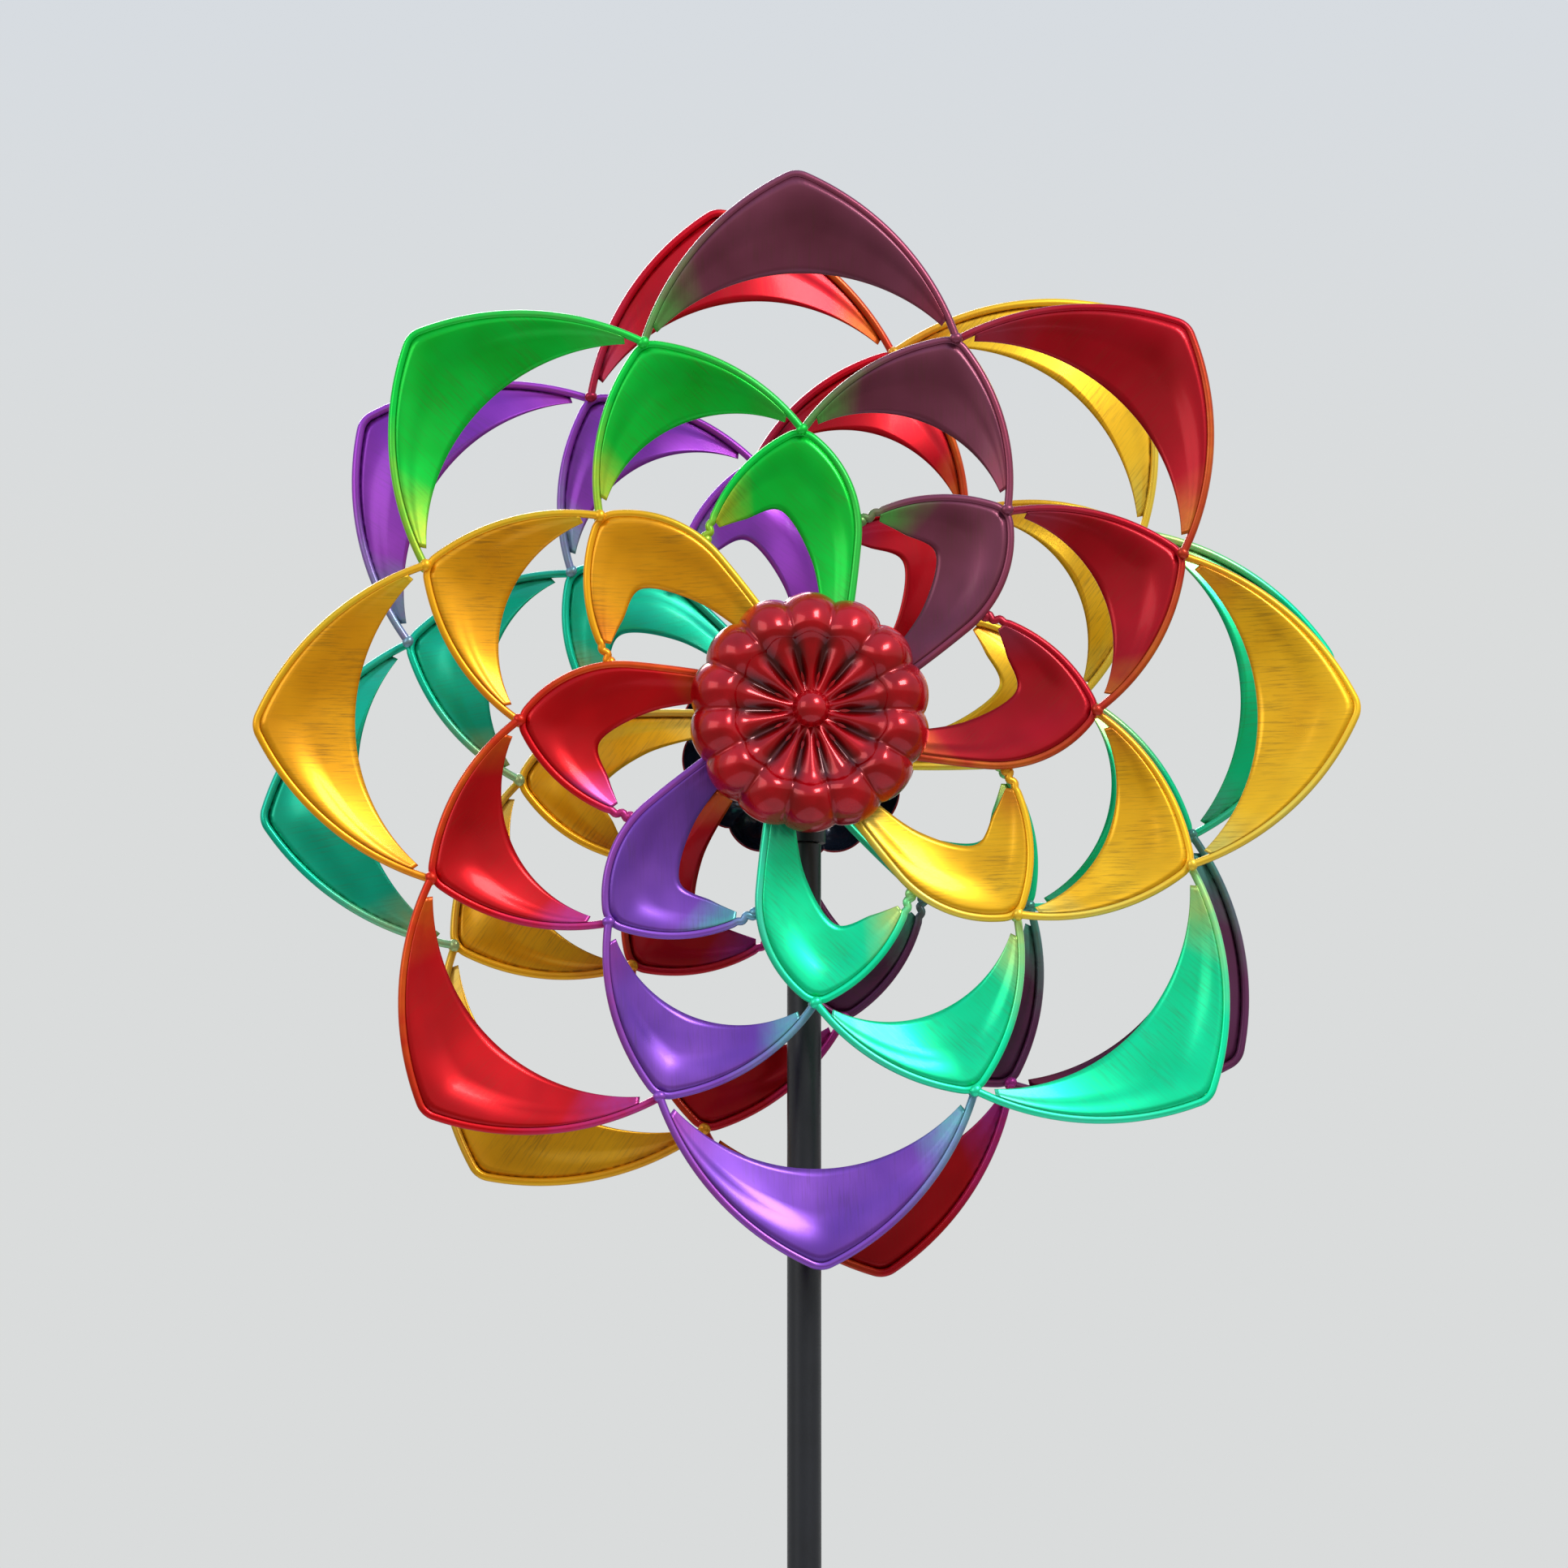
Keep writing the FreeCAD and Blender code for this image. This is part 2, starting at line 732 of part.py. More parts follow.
def make_knob(side):
    """Ball with a flat foot, whose stem pins the rosette to the cap with a push nut behind."""
    name = SIDE_NAMES[side]
    centre = along(side, "Sizes.knob_centre")
    ball = primitive("Part::Sphere", f"{name}_ball", outwards(side), Radius="Sizes.knob_radius", **centre)
    below = disc(f"{name}_foot", side, "knob_radius", "Sizes.stem_end", "Sizes.knob_seat - Sizes.stem_end")
    stem = disc(f"{name}_stem", side, "stem_radius", "Sizes.stem_end", "Sizes.knob_centre - Sizes.stem_end")
    knob = fuse(f"{name}_knob_and_stem", cut(f"{name}_knob", ball, below), stem)
    nut_span = ("Sizes.push_nut_start", "Sizes.push_nut_height")
    nut = ring(f"{name}_push_nut", side, "push_nut_radius", "stem_hole", *nut_span)
    keep(group(f"{name}_knob_set", knob, nut), f"{name}_cap_knob")


# ---------------------------------------------------------------- wire arches of a wheel


def bow_centre(start, end, bow):
    """Centre and radius of the arc from start to end that stands bow clear of its chord, on its left."""
    chord = end - start
    half = chord.Length / 2
    radius = (half * half + bow * bow) / (2 * bow)
    left = Vector(-chord.y, chord.x, 0).normalize()
    return (start + end) * 0.5 + left * (bow - radius), radius


def tip_circle(centre_a, radius_a, centre_b, radius_b, bend):
    """Centre of the small circle that rounds the tip where two arcs meet, inside both."""
    reach_a = radius_a - bend
    reach_b = radius_b - bend
    gap = centre_b - centre_a
    across = (reach_a * reach_a - reach_b * reach_b + gap.Length * gap.Length) / (2 * gap.Length)
    up = math.sqrt(reach_a * reach_a - across * across)
    direction = Vector(gap.x, gap.y, 0).normalize()
    normal = Vector(-direction.y, direction.x, 0)
    if normal.y < 0:
        normal = -normal
    return centre_a + direction * across + normal * up


def on_circle(centre, towards, radius):
    ray = towards - centre
    return centre + ray.normalize() * radius


def bisector_point(centre, start, end, radius):
    return on_circle(centre, (start + end) * 0.5, radius)


def arch_path(left_end, tip, right_end, left_bow, right_bow, bend, inset=0.0):
    """Two bowed sides and a rounded tip, as three arcs from the left end to the right end.

    inset draws the same arch that much further in.
    """
    left_centre, left_radius = bow_centre(left_end, tip, left_bow)
    right_centre, right_radius = bow_centre(tip, right_end, right_bow)
    corner = tip_circle(left_centre, left_radius, right_centre, right_radius, bend)
    left_radius -= inset
    right_radius -= inset
    start = on_circle(left_centre, left_end, left_radius)
    left_touch = on_circle(left_centre, corner, left_radius)
    right_touch = on_circle(right_centre, corner, right_radius)
    end = on_circle(right_centre, right_end, right_radius)
    top = corner + (left_touch + right_touch - corner * 2).normalize() * (bend - inset)
    return [
        arc(start, bisector_point(left_centre, start, left_touch, left_radius), left_touch),
        arc(left_touch, top, right_touch),
        arc(right_touch, bisector_point(right_centre, right_touch, end, right_radius), end),
    ]


def tangent_arc(last_edge, end):
    """An arc that carries on from an edge's end without a kink."""
    start = last_edge.valueAt(last_edge.LastParameter)
    heading = last_edge.tangentAt(last_edge.LastParameter).normalize()
    chord = end - start
    turn = heading.getAngle(chord)
    side = Vector(-heading.y, heading.x, 0)
    if side.dot(chord) > 0:
        side = -side
    across = Vector(-chord.y, chord.x, 0).normalize()
    if across.dot(side) < 0:
        across = -across
    middle = (start + end) * 0.5 + across * (chord.Length / 2 * math.tan(turn / 2))
    return arc(start, middle, end)


def rod(edges):
    """Round wire along a path of edges that follow on from each other."""
    first = edges[0]
    start = first.valueAt(first.FirstParameter)
    heading = first.tangentAt(first.FirstParameter)
    section = Part.Wire(Part.makeCircle(size("wire_radius"), start, heading))
    return Part.Wire(edges).makePipeShell([section], True, True)


class Ring:
    """One of the wheel's rings of arches: its tip radius, its ends and how it leans."""

    def __init__(self, name, own_angle, tip_radius, next_radius, w):
        half_step = math.pi / size("arm_count")
        self.name = name
        self.own_angle = own_angle
        self.tip = Vector(0, tip_radius, 0)
        self.right_end = Vector(next_radius * math.sin(half_step), next_radius * math.cos(half_step), 0)
        self.left_end = Vector(-self.right_end.x, self.right_end.y, 0)
        lap = (size("lap_own") + size("lap_neighbour")) / 2
        self.lean = math.degrees(math.asin(lap / self.right_end.x))
        self.w = w

    def path(self, inset=0.0):
        bow = size(f"{self.name}_bow")
        return arch_path(self.left_end, self.tip, self.right_end, bow, bow, size("tip_bend"), inset)


class InnerRing(Ring):
    """The inner arches, whose clockwise sides run on to the hub and end in screw eyes."""

    def __init__(self, own_angle, w):
        self.name = "inner"
        self.own_angle = own_angle
        self.tip = Vector(0, size("inner_ring"), 0)
        self.left_end = Vector(size("inner_end_u"), size("inner_end_v"), 0)
        self.right_end = Vector(size("inner_knee_u"), size("inner_knee_v"), 0)
        self.eye = Vector(size("eye_u"), size("eye_v"), 0)
        span = self.right_end.x - self.left_end.x
        self.lean = math.degrees(math.asin(size("lap_neighbour") / span))
        self.w = w

    def path(self, inset=0.0):
        bow = size("inner_bow")
        edges = arch_path(self.left_end, self.tip, self.right_end, bow, bow, size("tip_bend"), inset)
        heading = (self.eye - self.right_end).normalize()
        inwards = Vector(heading.y, -heading.x, 0)
        return edges + [tangent_arc(edges[-1], self.eye + inwards * inset)]


STEP = 360.0 / size("arm_count")
LAP_STEP = (size("lap_neighbour") - size("lap_own")) / 2
INNER = InnerRing(STEP, size("apex_w"))
MIDDLE = Ring("middle", STEP / 2, size("middle_ring"), size("inner_ring"), INNER.w - LAP_STEP)
OUTER = Ring("outer", 0.0, size("outer_ring"), size("middle_ring"), MIDDLE.w - LAP_STEP)


def leaned(shape, ring_):
    """Lean an arch about its own centre line, move it out to its ring's w and turn it to its place."""
    placed = shape.copy()
    placed.rotate(Vector(), Vector(0, 1, 0), -ring_.lean)
    placed.translate(Vector(0, 0, ring_.w))
    placed.rotate(Vector(), Vector(0, 0, 1), -ring_.own_angle)
    return placed


def ring_point(radius, angle, w):
    turn = math.radians(angle)
    return Vector(radius * math.sin(turn), radius * math.cos(turn), w)


def arm_shape():
    """One arm: its three arches welded tip to end, with the screw eye at the hub."""
    arches = [leaned(rod(ring_.path()), ring_) for ring_ in (OUTER, MIDDLE, INNER)]
    lift = size("lap_own") / 2
    welds = []
    for ring_ in (MIDDLE, INNER):
        joint = ring_point(size(f"{ring_.name}_ring"), ring_.own_angle, ring_.w + lift)
        welds.append(Part.makeSphere(size("weld_radius"), joint))
    thickness = 2 * size("wire_radius")
    eye = INNER.eye + Vector(0, 0, size("flange_face"))
    boss = Part.makeCylinder(size("eye_radius"), thickness, eye)
    hole = Part.makeCylinder(size("eye_hole"), 3 * thickness, eye - Vector(0, 0, thickness))
    for piece in (boss, hole):
        piece.rotate(Vector(), Vector(0, 0, 1), -INNER.own_angle)
    joined = arches[0].fuse(arches[1:] + welds + [boss])
    return joined.cut(hole).removeSplitter()


# ---------------------------------------------------------------- petals


def along_path(edges, trim_start, trim_end):
    """Sample a path of edges, closer together round its tip, with its two ends trimmed."""
    points = []
    for index, edge in enumerate(edges):
        count = TIP_SAMPLES if index == 1 else PETAL_SAMPLES
        first = trim_start / edge.Length if index == 0 else 0.0
        last = 1.0 - trim_end / edge.Length if index == len(edges) - 1 else 1.0
        for step in range(count):
            share = first + (last - first) * step / (count - 1)
            if index and step == 0:
                continue
            points.append(edge.valueAt(edge.getParameterByLength(share * edge.Length)))
    return points


def shares(points):
    """How far along its line each point is, from 0 to 1."""
    total = [0.0]
    for before, after in zip(points, points[1:]):
        total.append(total[-1] + (after - before).Length)
    return [distance / total[-1] for distance in total]


def spline(points):
    curve = Part.BSplineCurve()
    curve.interpolate(points)
    return curve


def inner_edge(ring_, start, end):
    """The petal's free edge, from beside its first end to beside its last."""
    if ring_ is INNER:
        crown = Vector(size("inner_crown_u"), ring_.tip.y - size("inner_petal_width"), 0)
        knee = Vector(size("inner_bend_u"), size("inner_bend_v"), 0)
        shoulder = Vector(size("inner_shoulder_u"), size("inner_shoulder_v"), 0)
        return spline([start, shoulder, crown, knee, end])
    crown = Vector(0, ring_.tip.y - size(f"{ring_.name}_petal_width"), 0)
    return Part.Arc(start, crown, end)


def petal_shape(ring_):
    """One crescent of sheet, dished back from the rim that follows its arch."""
    inset = size("wire_radius") + size("petal_edge_gap")
    edges = ring_.path(inset)
    trim = size("petal_end_gap")
    last_trim = edges[-1].Length - (edges[-1].valueAt(edges[-1].FirstParameter).y - size("inner_petal_foot"))
    rim = along_path(edges, trim, last_trim if ring_ is INNER else trim)
    end_u = size("petal_end_u")
    end_v = size("petal_end_v")
    start = rim[0] + Vector(end_u, -end_v, 0)
    end = rim[-1] + (Vector(-size("inner_foot_width"), 0, 0) if ring_ is INNER else Vector(-end_u, -end_v, 0))
    free = inner_edge(ring_, start, end)
    if ring_ is INNER:
        span = free.LastParameter - free.FirstParameter
        free_points = [free.value(free.FirstParameter + share * span) for share in shares(rim)]
    else:
        free_edge = free.toShape()
        lengths = [share * free_edge.Length for share in shares(rim)]
        free_points = [free_edge.valueAt(free_edge.getParameterByLength(length)) for length in lengths]
    widest = max((b - a).Length for a, b in zip(rim, free_points))
    dish = size(f"{ring_.name}_petal_dish")
    sections = []
    for across in PETAL_ROWS:
        row = []
        for outer, inner in zip(rim, free_points):
            drop = dish * (inner - outer).Length / widest * (2 * across - across * across)
            point = outer + (inner - outer) * across
            row.append(point + Vector(0, 0, size("petal_lift") - drop))
        sections.append(Part.Wire(spline(row).toShape()))
    skin = Part.makeLoft(sections, False, False).Faces[0]
    return leaned(skin.extrude(Vector(0, 0, size("petal_sheet"))), ring_)


def make_wheel(side, arm, petals):
    """Eight arms and their petals, turned round the axle; the rear wheel is the front one mirrored."""
    name = SIDE_NAMES[side]
    turn = size(f"{name}_turn")
    if side == REAR:
        # Drawn with w along +Z, then mirrored so that it faces the other way with the same spiral.
        arm = arm.mirror(Vector(), Vector(0, 0, 1))
        petals = petals.mirror(Vector(), Vector(0, 0, 1))
    stand = Placement(Vector(0, 0, size("hub_height")), outwards(FRONT))
    for index in range(int(size("arm_count"))):
        colour = COLOURS[(index + FIRST_COLOUR[side]) % len(COLOURS)]
        number = index // len(COLOURS) + 1
        place = stand * Placement(Vector(), Rotation(Vector(0, 0, 1), -(turn + index * STEP)))
        shaped(f"{name}_arm_{colour}_{number}", arm.copy(), place)
        shaped(f"{name}_petals_{colour}_{number}", petals.copy(), place)


# ---------------------------------------------------------------- build, check and write

make_pole()
make_stake()
make_head()
arm = arm_shape()
petals = Part.makeCompound([petal_shape(ring_) for ring_ in (OUTER, MIDDLE, INNER)])
for side in (FRONT, REAR):
    make_hub(side)
    make_cap(side)
    make_rosette(side)
    make_knob(side)
    make_wheel(side, arm, petals)
doc.recompute()

for thing in doc.Objects:
    if {"Invalid", "Error"} & set(thing.State):
        raise RuntimeError(f"{thing.Name} failed: {thing.State}")

os.makedirs("parts", exist_ok=True)
for thing in subparts:
    shape = thing.Shape
    if shape.isNull() or not shape.isValid() or not shape.Solids:
        raise RuntimeError(f"{thing.Label} has no sound shape")
    shape.exportStep(f"parts/{thing.Label}.step")
print(len(subparts), "sub-parts written")
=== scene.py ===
# %% [markdown]
# # Double flower wind spinner
#
# Two wheels of lacquered steel petals turn freely on one axle at the top of a slim garden pole. This lesson
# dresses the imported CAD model: it rebuilds the petals, the bent wires and the fluted flower caps as smooth
# meshes, gives every surface its finish, and sets up a plain studio. All sizes are metres, and +Z is up.

import json
import math

import bmesh
import bpy
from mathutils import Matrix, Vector


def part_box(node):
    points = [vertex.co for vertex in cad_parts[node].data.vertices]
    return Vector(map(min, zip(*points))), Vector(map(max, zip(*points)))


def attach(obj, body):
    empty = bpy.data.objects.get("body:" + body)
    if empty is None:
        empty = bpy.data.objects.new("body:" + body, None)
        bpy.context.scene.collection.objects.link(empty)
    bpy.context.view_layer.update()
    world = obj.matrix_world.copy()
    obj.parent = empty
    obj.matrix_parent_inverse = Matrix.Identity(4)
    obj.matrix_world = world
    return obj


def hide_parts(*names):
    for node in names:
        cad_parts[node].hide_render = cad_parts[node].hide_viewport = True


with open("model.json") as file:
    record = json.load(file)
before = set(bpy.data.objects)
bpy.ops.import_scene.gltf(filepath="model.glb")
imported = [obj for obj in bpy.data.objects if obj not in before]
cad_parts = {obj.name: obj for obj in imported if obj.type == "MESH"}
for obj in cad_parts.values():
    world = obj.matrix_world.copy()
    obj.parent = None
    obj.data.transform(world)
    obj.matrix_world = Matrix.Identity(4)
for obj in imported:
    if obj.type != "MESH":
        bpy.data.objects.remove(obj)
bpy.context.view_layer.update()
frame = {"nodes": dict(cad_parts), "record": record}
nodes = frame["nodes"]

# %% [markdown]
# ## Sizes of a wheel
#
# A wheel is easiest to draw flat, like a paper pattern: u runs clockwise, v runs outwards from the axle and w
# is the distance out from the pole along the axle. The rear wheel is the same pattern facing the other way.

# %% Wheel sizes and the flat pattern
MM = 0.001
axle_low, axle_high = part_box("axle")
HUB_HEIGHT = (axle_low.z + axle_high.z) / 2
HUB = Vector((0.0, 0.0, HUB_HEIGHT))

ARMS = 8
STEP = 2 * math.pi / ARMS
COLOURS = ("purple", "red", "yellow", "green")
# side: name, direction of w along Y, turn of the first arm in degrees, colour of the first arm
SIDES = (("front", -1, -1.3, 0), ("rear", 1, -8.9, 1))

WIRE_RADIUS = 2.25 * MM
TIP_BEND = 12 * MM
TIP_W = 50 * MM
LAP_OWN = 3.6 * MM
LAP_NEIGHBOUR = 4.55 * MM
SHEET = 0.9 * MM
SHEET_LIFT = 0.75 * MM
RIM_INSET = 1.95 * MM
EYE = Vector((16.5, 21.0)) * MM


def polar(radius, angle):
    """A flat point at this radius and angle, clockwise from straight out."""
    return Vector((radius * math.sin(angle), radius * math.cos(angle)))


class Ring:
    """One ring of arches: where its tips and ends are and how its petals are cut."""

    def __init__(self, angle, tip, left, right, bow, lap, w, petal_width, slope, eye=None):
        self.angle = angle
        self.tip = Vector((0.0, tip))
        self.left, self.right = left, right
        self.bow = bow
        self.lean = math.asin(lap / (right.x - left.x))
        self.w = w
        self.petal_width, self.slope = petal_width, slope
        self.eye = eye

    def in_wheel(self, point, outwards=0.0):
        """A flat point of this arch as (u, v, w) of the wheel: leaned, then turned to its place."""
        u = point.x * math.cos(self.lean)
        w = self.w + outwards + point.x * math.sin(self.lean)
        cos, sin = math.cos(self.angle), math.sin(self.angle)
        return u * cos + point.y * sin, point.y * cos - u * sin, w


OUTER_TIP, MIDDLE_TIP, INNER_TIP = 306 * MM, 227.5 * MM, 160 * MM
RING_STEP = (LAP_NEIGHBOUR - LAP_OWN) / 2
BOTH_LAPS = LAP_OWN + LAP_NEIGHBOUR
RINGS = {
    "outer": Ring(0.0, OUTER_TIP, polar(MIDDLE_TIP, -STEP / 2), polar(MIDDLE_TIP, STEP / 2), 14 * MM,
                  BOTH_LAPS, TIP_W - 2 * RING_STEP, 55.5 * MM, 0.5),
    "middle": Ring(STEP / 2, MIDDLE_TIP, polar(INNER_TIP, -STEP / 2), polar(INNER_TIP, STEP / 2), 10.8 * MM,
                   BOTH_LAPS, TIP_W - RING_STEP, 49 * MM, 0.5),
    "inner": Ring(STEP, INNER_TIP, Vector((-54.6, 99.4)) * MM, Vector((29.5, 97.0)) * MM, 9.8 * MM,
                  LAP_NEIGHBOUR, TIP_W, 44.5 * MM, 0.4, eye=EYE),
}
print("hub at", round(HUB_HEIGHT, 3), "m")
print("tips of the rings at", {name: round(ring.tip.y, 4) for name, ring in RINGS.items()}, "m")

# %% [markdown]
# ## Helpers for nodes and meshes
#
# Every tree below, for shapes or for finishes, is built with the same small function. A shape made by
# Geometry Nodes is turned into a plain mesh before it joins the frame.

# %% Node and mesh helpers


def add(tree, kind, links=None, **settings):
    """Add a node with its settings; links maps an input's name or number to a value or to another output."""
    made = tree.nodes.new(kind)
    for key, value in settings.items():
        setattr(made, key, value)
    for key, value in (links or {}).items():
        if isinstance(value, bpy.types.NodeSocket):
            tree.links.new(value, made.inputs[key])
        else:
            made.inputs[key].default_value = value
    return made


def shape_tree(name, **sockets):
    """A new Geometry Nodes tree that takes a shape and named sizes; returns it, its input and its keys."""
    tree = bpy.data.node_groups.new(name, "GeometryNodeTree")
    tree.interface.new_socket("Shape", in_out="INPUT", socket_type="NodeSocketGeometry")
    tree.interface.new_socket("Shape", in_out="OUTPUT", socket_type="NodeSocketGeometry")
    keys = {}
    for label, kind in sockets.items():
        keys[label] = tree.interface.new_socket(label, in_out="INPUT", socket_type=kind).identifier
    return tree, tree.nodes.new("NodeGroupInput"), keys


def store(tree, shape, name, value, kind="FLOAT"):
    """Keep a value on every point of a shape, under a name."""
    return add(
        tree,
        "GeometryNodeStoreNamedAttribute",
        {"Geometry": shape, "Name": name, "Value": value},
        data_type=kind,
        domain="POINT",
    ).outputs[0]


def vector_maths(tree, operation, first, second, output=0):
    return add(tree, "ShaderNodeVectorMath", {0: first, 1: second}, operation=operation).outputs[output]


def finish_tree(tree, shape, material):
    """End a tree with real geometry and its material."""
    real = add(tree, "GeometryNodeRealizeInstances", {"Geometry": shape})
    painted = add(tree, "GeometryNodeSetMaterial", {"Geometry": real.outputs[0], "Material": material})
    out = tree.nodes.new("NodeGroupOutput")
    tree.links.new(painted.outputs[0], out.inputs[0])


def grow(obj, tree, keys, **sizes):
    """Put a tree on an object as a modifier, with its sizes."""
    modifier = obj.modifiers.new(tree.name, "NODES")
    modifier.node_group = tree
    for label, value in sizes.items():
        modifier[keys[label]] = value
    return obj


def line_object(name, strips):
    """An object made only of edges: each strip is a row of points, closed if its last entry is True."""
    mesh = bpy.data.meshes.new(name)
    points, edges = [], []
    for row, closed in strips:
        first = len(points)
        points += row
        edges += [(i, i + 1) for i in range(first, len(points) - 1)]
        if closed:
            edges.append((len(points) - 1, first))
    mesh.from_pydata(points, edges, [])
    obj = bpy.data.objects.new(name, mesh)
    bpy.context.scene.collection.objects.link(obj)
    return obj


def point_attribute(obj, name, values):
    obj.data.attributes.new(name, "FLOAT", "POINT").data.foreach_set("value", values)


def settle(obj):
    """Turn an object and its modifiers into a plain closed mesh whose faces point outwards."""
    bpy.context.view_layer.update()
    evaluated = obj.evaluated_get(bpy.context.evaluated_depsgraph_get())
    mesh = bpy.data.meshes.new_from_object(evaluated)
    obj.modifiers.clear()
    obj.data = mesh
    mesh.name = obj.name
    work = bmesh.new()
    work.from_mesh(mesh)
    bmesh.ops.recalc_face_normals(work, faces=work.faces)
    work.to_mesh(mesh)
    work.free()
    for face in mesh.polygons:
        face.use_smooth = True
    return obj


def dress(obj, body, slot, *replaced):
    """Let a finished piece ride on its body in place of CAD nodes."""
    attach(obj, body)
    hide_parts(*replaced)
    return obj


def triangles(obj):
    return sum(len(face.vertices) - 2 for face in obj.data.polygons)


# %% [markdown]
# ## Colours
#
# Colours are written as sRGB hex, the way a paint chart gives them, and turned to linear once.

# %% Colour conversion


def linear(hex_colour):
    """An sRGB hex colour as linear RGBA."""
    channels = [int(hex_colour[i:i + 2], 16) / 255 for i in (1, 3, 5)]
    return tuple(c / 12.92 if c <= 0.04045 else ((c + 0.055) / 1.055) ** 2.4 for c in channels) + (1.0,)


LACQUERS = {
    # The two colours of each pair are one paint under painted light: painted sky reflection on the lower arm
    # at rest, painted shade on the upper one.
    # colour: full coat of the two arms, thin coat of the two arms
    "front": {
        "purple": (("#5a2230", "#542a8a"), ("#844056", "#8e52bc")),
        "red": (("#8c0006", "#a20006"), ("#b8001a", "#d4000c")),
        "yellow": (("#e09c06", "#dc8c04"), ("#ffc622", "#fcb014")),
        "green": (("#00c87c", "#00a614"), ("#08f0a8", "#00d444")),
    },
    "rear": {
        "purple": (("#4a1c34", "#6c2290"), ("#6a3058", "#a242bc")),
        "red": (("#9c000a", "#8e0006"), ("#d2001c", "#b0000e")),
        "yellow": (("#e4a808", "#cc8c04"), ("#ffcc2c", "#f0b014")),
        "green": (("#00a860", "#009870"), ("#00d890", "#00c49c")),
    },
}
STREAKS = {"purple": 0.3, "red": 0.15, "yellow": 0.55, "green": 0.35}

# %% [markdown]
# ## Candy lacquer
#
# The petals are steel sheet sprayed with a tinted clear lacquer over bright base metal, then dry-brushed with
# black and sealed. To the eye that is a metallic colour that deepens where the coat is thick, fine dark
# strokes that run outwards across the sheet, and black left in the corner along the rim. Next to a joint the
# spray of the neighbouring arm drifts over. The two arms of one colour have tints of their own: they stand
# in for open sky on the lower arms and shade on the upper ones when the wheel is at rest. The strokes are
# really about 0.3 mm wide and are drawn nearer 1 mm, so that they show.

# %% Lacquer material
STROKE_WIDTH = 1.1 * MM
STROKE_LENGTH = 22 * MM
STROKE_COLOUR = "#4a3a1e"
CORNER_COLOUR = "#14090c"
PATCH = 45 * MM
BRUSHED_AREA = 40 * MM
SPRAY_GRAIN = 12 * MM
CORNER_GRAIN = 5 * MM
METALLIC_LACQUER = 0.55


def value_range(tree, value, low, high, to_low=0.0, to_high=1.0):
    """Spread a value from low..high over another range, clamped."""
    return add(tree, "ShaderNodeMapRange", {0: value, 1: low, 2: high, 3: to_low, 4: to_high}).outputs[0]


def maths(tree, operation, *values):
    return add(tree, "ShaderNodeMath", dict(enumerate(values)), operation=operation).outputs[0]


def blend_colour(tree, share, first, second, mode="MIX"):
    links = {0: share, 6: first, 7: second}
    return add(tree, "ShaderNodeMix", links, data_type="RGBA", blend_type=mode).outputs[2]


def noise(tree, vector, scale=1.0, detail=2.0, roughness=0.5):
    links = {"Vector": vector, "Scale": scale, "Detail": detail, "Roughness": roughness}
    return add(tree, "ShaderNodeTexNoise", links).outputs[0]


def attribute(tree, name):
    return add(tree, "ShaderNodeAttribute", attribute_name=name)


def new_finish(name):
    """An empty material and its Principled shader."""
    material = bpy.data.materials.new(name)
    material.use_nodes = True
    return material, material.node_tree, material.node_tree.nodes["Principled BSDF"]


def of_arm(tree, copy, pair):
    """The first colour on the first arm, the second on the second arm; the two differ by painted sky
    reflection and painted shade.
    """
    return blend_colour(tree, copy, linear(pair[0]), linear(pair[1]))


